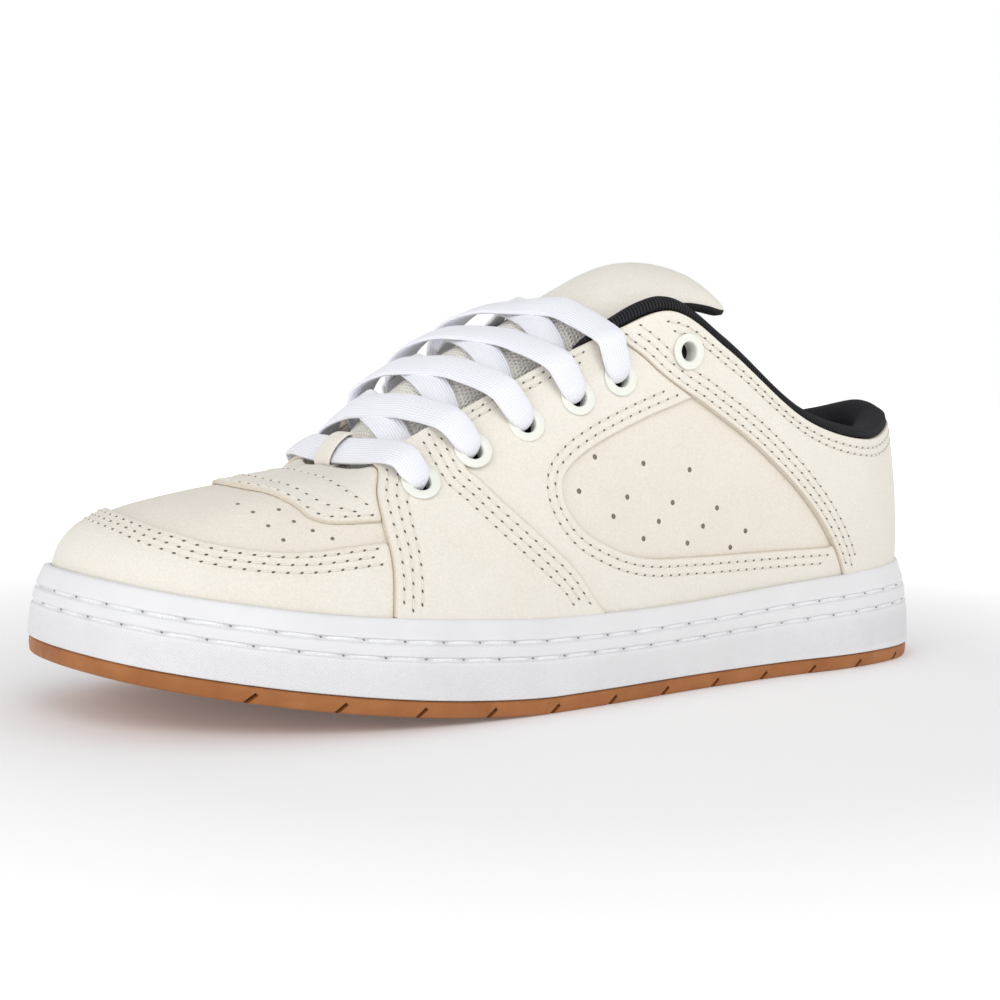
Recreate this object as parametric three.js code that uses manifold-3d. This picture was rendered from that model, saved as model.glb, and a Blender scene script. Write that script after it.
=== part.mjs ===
// Low skateboarding shoe, left foot, empty and unbent, standing on its sole.
// Millimetres, +X to the toe, +Y to the outer (lateral) side, +Z up, the floor at z = 0.
import * as THREE from 'three';
import { mergeVertices } from 'three/addons/utils/BufferGeometryUtils.js';
import Module from 'manifold-3d';

const wasm = await Module();
wasm.setup();

// Driving sizes of the last and the sole
const shoeLength = 301.5;
const ballWidth = 109;
const earHeight = 111.5;
const toeSpring = 16;
const springStart = 178;
const springCurve = 1.5;
const wallAtHeel = 33;
const gumThickness = 4.6;
const gumInset = 0.5;
const wallFlare = 4.3;
const rimLip = 1.6;
const footbedAtHeel = 15;
const footbedAtBall = 10.5;
const grooveDepth = 1.1;
const grooveHalfWidth = 0.7;
const treadDepth = 2.8;
const treadGrooveWidth = 1.5;
const treadPitch = 21.5;
const treadStart = 7.8;
const treadReach = 0.91;
const treadTilt = 50;

// Driving sizes of the upper and what is sewn on it
const clearance = 0.3;
const layerThickness = 1;
const topLayerRise = 0.9;
const upperWall = 2.2;
const insoleThickness = 4;
const collarRoll = 4.6;
const collarPad = 7;
const collarEndPad = 0.35;
const collarDrop = 24;
const collarEndDrop = 0.45;
const collarStart = 6.7;
const tongueThickness = 8;
const tongueEdge = 0.25;
const tongueThinning = 0.35;
const tongueSweep = 80;
const tongueSide = -0.019;
const eyeletRadius = 5.45;
const eyeletBore = 2.85;
const eyeletBarrel = 3.5;
const eyeletRim = 0.9;
const eyeletInset = 13.5;
const eyeletSeat = 0.55;
const eyeletCut = 16;
const laceWidth = 8;
const laceThickness = 1.7;
const laceLift = 1.6;
const laceOverEyelet = 4.2;
const laceOverEdge = 4;
const laceSlant = 0.22;
const barStation = 3.8;
const barTilt = 50;
const loopLong = 12.5;
const loopHigh = 5.4;
const loopWidth = 9;
const loopStrip = 1;

// Offsets from the skin, the outer face of the first layer of overlays, worked out from those
const layerInner = -layerThickness;
const upperOuter = layerInner - clearance;
const upperInner = upperOuter - upperWall;
const baseInset = wallFlare + rimLip + clearance;

// Heights on the skin where the layers and the skirt of the upper begin
const firstLayerStart = -0.045;
const topLayerStart = 0.03;
const skirtTop = -0.07;
const skirtShoulder = -0.065;

// Outline of the sole: along is a share of the length from the heel, the sides shares of the ball width
const outlineTip = { along: 1, side: -0.078 };
const outlineHeel = { along: 0, side: -0.018 };
const outlineRows = [
  { along: 0.986, lateral: 0.115, medial: 0.248 },
  { along: 0.944, lateral: 0.289, medial: 0.383 },
  { along: 0.857, lateral: 0.422, medial: 0.477 },
  { along: 0.752, lateral: 0.484, medial: 0.514 },
  { along: 0.646, lateral: 0.486, medial: 0.500 },
  { along: 0.530, lateral: 0.457, medial: 0.440 },
  { along: 0.411, lateral: 0.412, medial: 0.394 },
  { along: 0.285, lateral: 0.381, medial: 0.381 },
  { along: 0.166, lateral: 0.372, medial: 0.381 },
  { along: 0.070, lateral: 0.307, medial: 0.330 },
  { along: 0.013, lateral: 0.156, medial: 0.193 },
];
const sideRows = outlineRows.length + 1;
const turn = 2 * sideRows;

// Height of the sole's side wall: along is a share of the length, wall a share of the wall at the heel
const wallRows = [
  { along: 0, wall: 1 },
  { along: 0.2, wall: 0.894 },
  { along: 0.43, wall: 0.764 },
  { along: 0.66, wall: 0.776 },
  { along: 0.83, wall: 0.727 },
  { along: 1, wall: 0.7 },
];

// Side wall of the cup from the gum up: height is a share of the wall, inset a share of the flare
const cupRows = [
  { height: 0.4, inset: 0.08 },
  { height: 0.6, inset: 0.25, groove: true },
  { height: 0.77, inset: 0.46, groove: true },
  { height: 0.93, inset: 0.82 },
];

// Sections of the upper, from the toe round one side to the heel: station counts rows of the outline.
// The edge of the opening is at shares of the length, the ball width and the ear height.
// lean and crown are the slopes from upright at the foot and the edge, low and high the shares
// of the section's chord that keep those slopes.
const sectionRows = [
  { name: 'toe', station: 0, x: 0.740, lateral: -0.014, medial: 0.014, z: 0.587,
    lean: 12, low: 0.20, crown: 83, high: 0.70 },
  { name: 'toe side', station: 1, x: 0.737, lateral: 0.055, medial: 0.083, z: 0.583,
    lean: 14, low: 0.21, crown: 82, high: 0.66 },
  { name: 'cap', station: 2, x: 0.732, lateral: 0.119, medial: 0.151, z: 0.583,
    lean: 18, low: 0.24, crown: 78, high: 0.58 },
  { name: 'vamp', station: 3, x: 0.722, lateral: 0.174, medial: 0.206, z: 0.597,
    lean: 20, low: 0.28, crown: 62, high: 0.45 },
  { name: 'ball', station: 4, x: 0.688, lateral: 0.204, medial: 0.239, z: 0.664,
    lean: 18, low: 0.32, crown: 40, high: 0.34 },
  { name: 'instep', station: 5, x: 0.637, lateral: 0.218, medial: 0.252, z: 0.738,
    lean: 13, low: 0.33, crown: 32, high: 0.33 },
  { name: 'waist', station: 6, x: 0.543, lateral: 0.242, medial: 0.270, z: 0.866,
    lean: 9, low: 0.33, crown: 24, high: 0.33 },
  { name: 'ear front', station: 6.7, x: 0.480, lateral: 0.266, medial: 0.288, z: 0.942,
    lean: 5, low: 0.33, crown: 16, high: 0.33 },
  { name: 'ear', station: 7.3, x: 0.418, lateral: 0.299, medial: 0.310, z: 1,
    lean: 2, low: 0.33, crown: 10, high: 0.33 },
  { name: 'ear back', station: 8, x: 0.349, lateral: 0.312, medial: 0.321, z: 0.906,
    lean: -2, low: 0.33, crown: 12, high: 0.33 },
  { name: 'side', station: 9, x: 0.240, lateral: 0.317, medial: 0.335, z: 0.719,
    lean: -6, low: 0.33, crown: 20, high: 0.33 },
  { name: 'heel front', station: 10, x: 0.134, lateral: 0.286, medial: 0.312, z: 0.660,
    lean: -6, low: 0.33, crown: 22, high: 0.33 },
  { name: 'heel side', station: 11, x: 0.048, lateral: 0.144, medial: 0.180, z: 0.709,
    lean: -7, low: 0.33, crown: 24, high: 0.33 },
  { name: 'heel', station: 12, x: 0.026, lateral: -0.018, medial: 0.018, z: 0.744,
    lean: -8, low: 0.33, crown: 22, high: 0.33 },
];
const sectionKeys = ['x', 'y', 'z', 'lean', 'low', 'crown', 'high'];

// Panel outlines: along is a share of the length, up of the ear height, across of the ball width
const saddleRows = [
  { along: 0.722, up: 0.62 },
  { along: 0.738, up: 0.53 },
  { along: 0.742, up: 0.46 },
  { along: 0.743, up: 0.38 },
  { along: 0.748, up: 0.30 },
  { along: 0.760, up: 0.16 },
  { along: 0.480, up: 0.16 },
  { along: 0.522, up: 0.235 },
  { along: 0.549, up: 0.33 },
  { along: 0.582, up: 0.41 },
  { along: 0.617, up: 0.493 },
  { along: 0.643, up: 0.566 },
  { along: 0.655, up: 0.612 },
  { along: 0.672, up: 0.85 },
  { along: 0.735, up: 0.75 },
];
const windowRows = [
  { along: 0.398, up: 0.768 },
  { along: 0.459, up: 0.708 },
  { along: 0.518, up: 0.640 },
  { along: 0.549, up: 0.582 },
  { along: 0.556, up: 0.530 },
  { along: 0.548, up: 0.470 },
  { along: 0.524, up: 0.412 },
  { along: 0.466, up: 0.357 },
  { along: 0.386, up: 0.347 },
  { along: 0.200, up: 0.350 },
  { along: 0.220, up: 0.650 },
];
const rearPanelRows = [
  { along: 0.490, up: 1.00 },
  { along: 0.472, up: 0.922 },
  { along: 0.450, up: 0.880 },
  { along: 0.428, up: 0.833 },
  { along: 0.402, up: 0.790 },
  { along: 0.372, up: 0.748 },
  { along: 0.302, up: 0.635 },
  { along: 0.228, up: 0.470 },
  { along: 0.180, up: 0.300 },
  { along: 0.160, up: 0.130 },
  { along: -0.05, up: 0.130 },
  { along: -0.05, up: 1.15 },
  { along: 0.46, up: 1.15 },
];
const eyestayRows = [
  { along: 0.02, up: 0.1 },
  { along: 0.74, up: 0.1 },
  { along: 0.74, up: 1.2 },
  { along: 0.02, up: 1.2 },
];
const frontRows = [
  { along: 0.70, up: 0.75 },
  ...saddleRows.slice(0, 5),
  { along: 0.760, up: 0.1 },
  { along: 1.1, up: 0.1 },
  { along: 1.1, up: 0.9 },
  { along: 0.70, up: 0.9 },
];
const capRows = [
  { along: 0.742, lateral: 0.351, medial: 0.380 },
  { along: 0.807, lateral: 0.329, medial: 0.376 },
  { along: 0.848, lateral: 0.297, medial: 0.349 },
  { along: 0.884, lateral: 0.248, medial: 0.310 },
  { along: 0.906, lateral: 0.199, medial: 0.273 },
  { along: 0.924, lateral: 0.114, medial: 0.200 },
];
const capTip = { along: 0.935, side: -0.045 };
const archRows = [
  { along: 0.741, lateral: 0.320, medial: 0.352 },
  { along: 0.783, lateral: 0.293, medial: 0.330 },
  { along: 0.801, lateral: 0.261, medial: 0.302 },
  { along: 0.808, lateral: 0.216, medial: 0.262 },
  { along: 0.822, lateral: 0.136, medial: 0.190 },
];
const archTip = { along: 0.839, side: -0.030 };
const planBack = 0.6;

// Ring of the padded collar. up is a share of the roll above the edge or of the drop below it,
// out a share of the top layer, wall of the depth of the wall and pad of the padding
const collarRows = [
  { up: 0.1, out: 0, wall: 1, pad: 0 },
  { up: 0.1, out: 0.4, wall: 0, pad: 0 },
  { up: 0.75, out: 0.3, wall: 0, pad: 0 },
  { up: 1, out: 0, wall: 0.45, pad: 0 },
  { up: 0.85, out: 0, wall: 1, pad: 0.55 },
  { up: 0.1, out: 0, wall: 1, pad: 1 },
  { up: -0.5, out: 0, wall: 1, pad: 0.9 },
  { up: -1, out: 0, wall: 1, pad: 0.17 },
  { up: -1, out: 0, wall: 1, pad: 0 },
  { up: -0.5, out: 0, wall: 1, pad: 0 },
];

// Tongue sections: crown is its height, half its half width, drop how far its sides hang down
const tongueRows = [
  { name: 'root', along: 0.800, crown: 0.486, half: 0.170, drop: 0.035, thick: 0.35 },
  { name: 'throat', along: 0.728, crown: 0.545, half: 0.178, drop: 0.060, thick: 0.45 },
  { name: 'first lace', along: 0.690, crown: 0.690, half: 0.172, drop: 0.125, thick: 0.8 },
  { name: 'second lace', along: 0.645, crown: 0.800, half: 0.180, drop: 0.145, thick: 1 },
  { name: 'third lace', along: 0.590, crown: 0.892, half: 0.196, drop: 0.160, thick: 1 },
  { name: 'fourth lace', along: 0.530, crown: 0.965, half: 0.206, drop: 0.165, thick: 1 },
  { name: 'fifth lace', along: 0.462, crown: 1.075, half: 0.222, drop: 0.195, thick: 1.1 },
  { name: 'top', along: 0.400, crown: 1.145, half: 0.240, drop: 0.170, thick: 1.25 },
  { name: 'roll', along: 0.345, crown: 1.140, half: 0.240, drop: 0.150, thick: 1.35 },
  { name: 'end', along: 0.300, crown: 1.078, half: 0.225, drop: 0.130, thick: 0.8 },
];

// Eyelets by their station on the section table; the top one sits nearer to the edge
const eyeletRows = [
  { station: 4.22, inset: 1.28 },
  { station: 4.98, inset: 1 },
  { station: 5.58, inset: 1 },
  { station: 6.14, inset: 1 },
  { station: 6.66, inset: 1 },
  { station: 7.42, inset: 0.83 },
];

// First bar of the lace, over the front of the throat: along is a share of the length,
// across of the ball width, up of the ear height
const barRows = [
  { along: 0.720, across: 0.090, up: 0.624 },
  { along: 0.724, across: 0.020, up: 0.623 },
  { along: 0.724, across: -0.030, up: 0.623 },
  { along: 0.724, across: -0.080, up: 0.623 },
  { along: 0.720, across: -0.140, up: 0.624 },
];
const loopRow = barRows[2];

// Crossings over the tongue: row counts sections of the tongue past the one before the eyelet, across is
// a share of its sweep, over says which stops lie on the other band where the two cross
const crossingRows = [
  { row: 0.45, across: -0.62, over: 0 },
  { row: 0.6, across: -0.3, over: 1 },
  { row: 0.75, across: 0, over: 1 },
  { row: 0.9, across: 0.35, over: 1 },
];
const firstTongueRow = 2;

// How finely the forms are faceted
const stationCount = 48;
const heightShares = [0, 0.12, 0.27, 0.46, 0.66, 0.84, 1];
const eyeletFacets = 10;
const laceSteps = 7;
const loopFacets = 10;
const tongueSteps = 16;
const tongueShares = [1, 0.8, 0.55, 0.28, 0, -0.28, -0.55, -0.8, -1];
const smallStep = 0.02;
const weldDistance = 1e-4;

const finishes = {
  gum: new THREE.MeshStandardMaterial({ color: 0xa9683a, roughness: 0.55 }),
  cup: new THREE.MeshStandardMaterial({ color: 0xf1f1f3, roughness: 0.5 }),
  suede: new THREE.MeshStandardMaterial({ color: 0xeee7d8, roughness: 0.95 }),
  knit: new THREE.MeshStandardMaterial({ color: 0xe6dfd0, roughness: 1 }),
  lining: new THREE.MeshStandardMaterial({ color: 0x141416, roughness: 0.95 }),
  foam: new THREE.MeshStandardMaterial({ color: 0x2a2a2c, roughness: 0.9 }),
  lace: new THREE.MeshStandardMaterial({ color: 0xf3f3f7, roughness: 0.9 }),
  eyelet: new THREE.MeshStandardMaterial({ color: 0xe3e6da, roughness: 0.35, metalness: 0.2 }),
};

// Smooth closed curve through rows at uneven places on a ring, each row a list of numbers
function ringCurve(places, rows, round) {
  const count = rows.length;
  const place = (i) => places[((i % count) + count) % count] + round * Math.floor(i / count);
  const row = (i) => rows[((i % count) + count) % count];
  return (at) => {
    const t = ((at % round) + round) % round;
    let i = count - 1;
    while (places[i] > t) i -= 1;
    const span = place(i + 1) - place(i);
    const s = (t - place(i)) / span;
    const rise = s * s * (3 - 2 * s);
    const start = s * (1 - s) * (1 - s) * span;
    const end = s * s * (s - 1) * span;
    return row(i).map((value, k) => {
      const before = (row(i + 1)[k] - row(i - 1)[k]) / (place(i + 1) - place(i - 1));
      const after = (row(i + 2)[k] - row(i)[k]) / (place(i + 2) - place(i));
      return value + (row(i + 1)[k] - value) * rise + before * start + after * end;
    });
  };
}

// Smooth open curve through rows at rising places
function openCurve(places, rows) {
  const last = rows.length - 1;
  const clamp = (i) => Math.min(Math.max(i, 0), last);
  return (at) => {
    const t = Math.min(Math.max(at, places[0]), places[last]);
    let i = last - 1;
    while (i > 0 && places[i] > t) i -= 1;
    const span = places[i + 1] - places[i];
    const s = (t - places[i]) / span;
    const rise = s * s * (3 - 2 * s);
    const slope = (j, k) => {
      const a = clamp(j - 1);
      const b = clamp(j + 1);
      return (rows[b][k] - rows[a][k]) / (places[b] - places[a]);
    };
    return rows[i].map((value, k) => value + (rows[i + 1][k] - value) * rise
      + slope(i, k) * s * (1 - s) * (1 - s) * span + slope(i + 1, k) * s * s * (s - 1) * span);
  };
}

// Both sides of a table as one ring: the lateral rows out, the medial rows back
function bothSides(first, rows, last, lateralRow, medialRow) {
  return [first, ...rows.map(lateralRow), last, ...[...rows].reverse().map(medialRow)];
}

const outlineRing = bothSides(
  [outlineTip.along * shoeLength, outlineTip.side * ballWidth],
  outlineRows,
  [outlineHeel.along * shoeLength, outlineHeel.side * ballWidth],
  (row) => [row.along * shoeLength, row.lateral * ballWidth],
  (row) => [row.along * shoeLength, -row.medial * ballWidth],
);
const outlineAt = ringCurve(outlineRing.map((_, i) => i), outlineRing, turn);
const outlinePoint = (station) => new THREE.Vector2(...outlineAt(station));

function outlineNormal(station) {
  const step = outlinePoint(station + smallStep).sub(outlinePoint(station - smallStep)).normalize();
  return new THREE.Vector2(step.y, -step.x);
}

function springAt(x) {
  const share = Math.min(Math.max((x - springStart) / (shoeLength - springStart), 0), 1);
  return toeSpring * share ** springCurve;
}

const wallCurve = openCurve(wallRows.map((row) => row.along), wallRows.map((row) => [row.wall]));
const wallAt = (x) => wallAtHeel * wallCurve(x / shoeLength)[0];

function footbedAt(x) {
  const share = Math.min(Math.max(x / springStart, 0), 1);
  return springAt(x) + footbedAtHeel + (footbedAtBall - footbedAtHeel) * share * share * (3 - 2 * share);
}

const sectionRow = (row, side) => [
  row.x * shoeLength, side * row[side > 0 ? 'lateral' : 'medial'] * ballWidth, row.z * earHeight,
  row.lean, row.low, row.crown, row.high,
];
const lateralSections = sectionRows.map((row) => sectionRow(row, 1));
const medialSections = sectionRows.slice(1, -1).reverse().map((row) => sectionRow(row, -1));
const sectionPlaces = [
  ...sectionRows.map((row) => row.station),
  ...sectionRows.slice(1, -1).reverse().map((row) => turn - row.station),
];
const sectionAt = ringCurve(sectionPlaces, [...lateralSections, ...medialSections], turn);

// A point of the skin: height 0 is at the rim of the sole, 1 at the edge of the opening,
// and below 0 the skin goes straight down inside the cup to the footbed at -1
function skinPoint(station, height) {
  const foot = outlinePoint(station);
  const out = outlineNormal(station);
  const x = foot.x;
  foot.addScaledVector(out, -baseInset);
  const rim = springAt(x) + wallAt(x);
  if (height < 0) {
    const floor = footbedAt(x) + clearance;
    return new THREE.Vector3(foot.x, foot.y, rim + height * (rim - floor));
  }
  const section = Object.fromEntries(sectionAt(station).map((value, k) => [sectionKeys[k], value]));
  const start = new THREE.Vector3(foot.x, foot.y, rim);
  const edge = new THREE.Vector3(section.x, section.y, section.z);
  const chord = edge.distanceTo(start);
  const inward = new THREE.Vector2(edge.x - start.x, edge.y - start.y).normalize();
  const slope = (degrees, way) => {
    const angle = THREE.MathUtils.degToRad(degrees);
    return new THREE.Vector3(way.x * Math.sin(angle), way.y * Math.sin(angle), Math.cos(angle));
  };
  const lower = start.clone().addScaledVector(slope(section.lean, out.negate()), section.low * chord);
  const upper = edge.clone().addScaledVector(slope(section.crown, inward), -section.high * chord);
  const rest = 1 - height;
  return new THREE.Vector3()
    .addScaledVector(start, rest ** 3)
    .addScaledVector(lower, 3 * rest * rest * height)
    .addScaledVector(upper, 3 * rest * height * height)
    .addScaledVector(edge, height ** 3);
}

function skinNormal(station, height) {
  const low = Math.max(height - smallStep, -1);
  const high = Math.min(height + smallStep, 1);
  const along = skinPoint(station + smallStep, height).sub(skinPoint(station - smallStep, height));
  const up = skinPoint(station, high).sub(skinPoint(station, low));
  return along.cross(up).normalize();
}

const skinOffset = (station, height, offset) => skinPoint(station, height)
  .addScaledVector(skinNormal(station, height), offset);

// Height share of the point that lies some way below the edge, measured along the section
function heightBelowEdge(station, distance) {
  const steps = 60;
  let left = distance;
  let last = skinPoint(station, 1);
  for (let i = 1; i <= steps; i += 1) {
    const next = skinPoint(station, 1 - i / steps);
    const length = next.distanceTo(last);
    if (length > left) return 1 - (i - 1 + left / length) / steps;
    left -= length;
    last = next;
  }
  return 0;
}

// Geometry from points and faces
function meshGeometry(points, faces) {
  const geometry = new THREE.BufferGeometry();
  const values = points.flatMap((p) => [p.x, p.y, p.z]);
  geometry.setAttribute('position', new THREE.Float32BufferAttribute(values, 3));
  geometry.setIndex(faces);
  return geometry;
}

function solidOf(geometry) {
  const bare = geometry.clone();
  bare.deleteAttribute('normal');
  bare.deleteAttribute('uv');
  const merged = mergeVertices(bare, weldDistance);
  return new wasm.Manifold(new wasm.Mesh({
    numProp: 3,
    vertProperties: new Float32Array(merged.attributes.position.array),
    triVerts: new Uint32Array(merged.index.array),
  }));
}

function geometryOf(solid) {
  const mesh = solid.getMesh();
  const geometry = new THREE.BufferGeometry();
  geometry.setAttribute('position', new THREE.BufferAttribute(new Float32Array(mesh.vertProperties), 3));
  geometry.setIndex(new THREE.BufferAttribute(new Uint32Array(mesh.triVerts), 1));
  geometry.computeVertexNormals();
  return geometry;
}

// A band of rings joined face by face. A closed band comes back to its first ring, an open one
// has flat ends. Faces past the turned point of a ring are split along their other diagonal, so
// that the two faces of a wall are split alike.
function bandGeometry(rings, closed, turned = rings[0].length) {
  const size = rings[0].length;
  const faces = [];
  const count = closed ? rings.length : rings.length - 1;
  for (let i = 0; i < count; i += 1) {
    const next = (i + 1) % rings.length;
    for (let j = 0; j < size; j += 1) {
      const side = (j + 1) % size;
      const [a, b, c, d] = [i * size + j, next * size + j, next * size + side, i * size + side];
      if (j < turned) faces.push(a, b, c, a, c, d);
      else faces.push(a, b, d, b, c, d);
    }
  }
  if (!closed) {
    const last = (rings.length - 1) * size;
    for (let j = 1; j < size - 1; j += 1) {
      faces.push(0, j, j + 1);
      faces.push(last, last + j + 1, last + j);
    }
  }
  return meshGeometry(rings.flat(), faces);
}

const stations = Array.from({ length: stationCount }, (_, i) => (turn * i) / stationCount);

// A hollow ring of the upper between two offsets from its skin, with its lowest rows listed apart
function skinRing(outer, inner, lowest, shares) {
  return solidOf(bandGeometry(stations.map((station) => [
    ...lowest.map((row) => skinOffset(station, row.height, row.offset)),
    ...shares.map((share) => skinOffset(station, share, outer)),
    ...[...shares].reverse().map((share) => skinOffset(station, share, inner)),
    ...lowest.slice(0, 1).map((row) => skinOffset(station, row.height, inner)),
  ]), true, lowest.length + shares.length));
}

// Faces that close a stack of rings at its top and bottom, from side to side
function capFaces(start, upward) {
  const faces = [];
  const half = stationCount / 2;
  const pair = (k) => [start + k, start + ((stationCount - k) % stationCount)];
  for (let k = 0; k < half; k += 1) {
    const [a, b] = pair(k);
    const [c, d] = pair(k + 1);
    const quads = [];
    if (a !== b) quads.push([a, c, b]);
    if (c !== d) quads.push([c, d, b]);
    quads.forEach(([p, q, r]) => faces.push(...(upward ? [p, q, r] : [p, r, q])));
  }
  return faces;
}

// A solid stacked from levels; each level gives an inset from the outline and a height at each station
function stackGeometry(levels) {
  const points = [];
  levels.forEach((level) => stations.forEach((station) => {
    const foot = outlinePoint(station);
    const x = foot.x;
    foot.addScaledVector(outlineNormal(station), -level.inset);
    points.push(new THREE.Vector3(foot.x, foot.y, level.height(x)));
  }));
  const faces = [];
  for (let i = 0; i < levels.length - 1; i += 1) {
    for (let j = 0; j < stationCount; j += 1) {
      const side = (j + 1) % stationCount;
      const low = i * stationCount;
      const high = low + stationCount;
      faces.push(low + j, low + side, high + side);
      faces.push(low + j, high + side, high + j);
    }
  }
  faces.push(...capFaces(0, false), ...capFaces((levels.length - 1) * stationCount, true));
  return meshGeometry(points, faces);
}

// Outsole: a gum slab with tread grooves that lean back and reach its edges as notches
function outsoleSolid() {
  const layer = (inset, low, high) => solidOf(stackGeometry([
    { inset, height: (x) => springAt(x) + low },
    { inset, height: (x) => springAt(x) + high },
  ]));
  const slab = layer(gumInset, 0, gumThickness - clearance / 2);
  const treadLayer = layer(-treadDepth, -treadDepth, treadDepth);
  let body = slab;
  for (let x = treadStart; x < treadReach * shoeLength; x += treadPitch) {
    const bar = new THREE.BoxGeometry(treadGrooveWidth, 2 * ballWidth, 2 * earHeight);
    bar.rotateY(-THREE.MathUtils.degToRad(treadTilt));
    bar.translate(x, 0, springAt(x));
    body = body.subtract(solidOf(bar).intersect(treadLayer));
  }
  return body;
}

// Cup: the white side wall and footbed in one moulding, open at the top to take the upper
function cupLevels() {
  const wallLevel = (share, inset) => ({ inset, height: (x) => springAt(x) + share * wallAt(x) });
  const levels = [{ inset: 0, height: (x) => springAt(x) + gumThickness + clearance / 2 }];
  cupRows.forEach((row) => {
    const inset = row.inset * wallFlare;
    const half = row.groove ? grooveHalfWidth / wallAtHeel : 0;
    if (row.groove) {
      levels.push(wallLevel(row.height - half, inset));
      levels.push(wallLevel(row.height, inset + grooveDepth));
      levels.push(wallLevel(row.height + half, inset));
    } else {
      levels.push(wallLevel(row.height, inset));
    }
  });
  levels.push(wallLevel(1, wallFlare));
  levels.push(wallLevel(1, wallFlare + rimLip));
  levels.push({ inset: wallFlare + rimLip, height: (x) => footbedAt(x) });
  return levels;
}

function insoleGeometry() {
  const inset = baseInset - upperInner + clearance;
  return stackGeometry([
    { inset, height: (x) => footbedAt(x) + clearance },
    { inset, height: (x) => footbedAt(x) + clearance + insoleThickness },
  ]);
}

// Eyelet places: points of the skin below the edge, with the direction that each one faces
function eyeletPlaces() {
  return [1, -1].flatMap((side) => eyeletRows.map((row, i) => {
    const station = side > 0 ? row.station : turn - row.station;
    const height = heightBelowEdge(station, row.inset * eyeletInset);
    return {
      name: `eyelet_${side > 0 ? 'lateral' : 'medial'}_${i + 1}`,
      side,
      row: i,
      point: skinPoint(station, height),
      normal: skinNormal(station, height),
    };
  }));
}

const onTop = new Set([0, 1, 5]);
const eyeletFace = (place) => (onTop.has(place.row) ? topLayerRise : 0);

function eyeletTurn(place) {
  return new THREE.Quaternion().setFromUnitVectors(new THREE.Vector3(0, 1, 0), place.normal);
}

// Eyelet: a flat flange outside, a rolled inner rim and a barrel through the wall
function eyeletGeometry(face) {
  const depth = upperInner - clearance;
  const seat = face + eyeletSeat;
  const profile = [
    [eyeletBore, depth], [eyeletBarrel, depth], [eyeletBarrel, seat], [eyeletRadius, seat],
    [eyeletBore, seat + eyeletRim], [eyeletBore, depth],
  ];
  return new THREE.LatheGeometry(profile.map(([x, y]) => new THREE.Vector2(x, y)), eyeletFacets);
}

function eyeletCutter(place) {
  const radius = eyeletBarrel + clearance;
  const cutter = new THREE.CylinderGeometry(radius, radius, eyeletCut, eyeletFacets);
  cutter.applyQuaternion(eyeletTurn(place));
  cutter.translate(place.point.x, place.point.y, place.point.z);
  return solidOf(cutter);
}

// Panel prisms: a closed outline with rounded corners, grown by a margin, pushed through the shoe
function growOutline(points, margin) {
  const count = points.length;
  const area = points.reduce((sum, p, i) => sum + p.cross(points[(i + 1) % count]), 0);
  return points.map((p, i) => {
    const before = points[(i + count - 1) % count];
    const after = points[(i + 1) % count];
    const way = after.clone().sub(before).normalize().multiplyScalar(Math.sign(area) * margin);
    return new THREE.Vector2(p.x + way.y, p.y - way.x);
  });
}

function sidePrism(rows, margin, from, to) {
  const points = rows.map((row) => new THREE.Vector2(row.along * shoeLength, row.up * earHeight));
  const shape = new THREE.Shape(growOutline(points, margin));
  const prism = new THREE.ExtrudeGeometry(shape, { depth: to - from, bevelEnabled: false });
  prism.rotateX(Math.PI / 2);
  prism.translate(0, to, 0);
  return solidOf(prism);
}

function planPrism(points) {
  const options = { depth: 2 * earHeight, bevelEnabled: false };
  return solidOf(new THREE.ExtrudeGeometry(new THREE.Shape(points), options));
}

// Region of the plan behind an arch drawn from one side over its tip to the other
function archOutline(rows, tip) {
  const spot = (along, share) => new THREE.Vector2(along * shoeLength, share * ballWidth);
  const lateral = rows.map((row) => spot(row.along, row.lateral));
  const medial = [...rows].reverse().map((row) => spot(row.along, -row.medial));
  const arch = [...lateral, spot(tip.along, tip.side), ...medial];
  const back = planBack * shoeLength;
  const ends = [new THREE.Vector2(back, medial.at(-1).y), new THREE.Vector2(back, lateral[0].y)];
  return [...new THREE.SplineCurve(arch).getPoints(2 * arch.length), ...ends];
}

const lateralSide = [1, ballWidth];
const medialSide = [-ballWidth, -1];
const places = eyeletPlaces();
const cutters = places.map((place) => ({ place, solid: eyeletCutter(place) }));
const firstLayer = skinRing(0, layerInner, [], [firstLayerStart, ...heightShares]);
const topLayer = skinRing(topLayerRise, layerInner, [], [topLayerStart, ...heightShares.slice(1)]);

function pierced(solid, side, rows) {
  return cutters
    .filter(({ place }) => rows.includes(place.row) && (side === 0 || place.side === side))
    .reduce((body, cutter) => body.subtract(cutter.solid), solid);
}

// Upper: one hollow wall, open at the throat and collar and underneath, thicker where it
// stands in the cup
function upperSolid() {
  const wall = skinRing(upperOuter, upperInner, [
    { height: -1, offset: 0 },
    { height: skirtTop, offset: 0 },
    { height: skirtShoulder, offset: upperOuter },
  ], heightShares);
  return pierced(wall, 0, eyeletRows.map((_, i) => i));
}

function saddleSolid(side) {
  const range = side > 0 ? lateralSide : medialSide;
  return pierced(topLayer.intersect(sidePrism(saddleRows, 0, ...range)), side, [0, 1]);
}

function eyestaySolid(side) {
  const range = side > 0 ? lateralSide : medialSide;
  const body = firstLayer.intersect(sidePrism(eyestayRows, 0, ...range))
    .subtract(sidePrism(saddleRows, clearance, ...range))
    .subtract(sidePrism(rearPanelRows, clearance, ...range))
    .subtract(sidePrism(windowRows, 0, ...range))
    .subtract(frontBlock(clearance));
  return pierced(body, side, [1, 2, 3, 4]);
}

// Everything in front of the saddles
function frontBlock(margin) {
  return sidePrism(frontRows, margin, -ballWidth, ballWidth);
}

function rearPanelSolid() {
  const body = topLayer.intersect(sidePrism(rearPanelRows, 0, -ballWidth, ballWidth));
  return pierced(body, 0, [5]);
}

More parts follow.
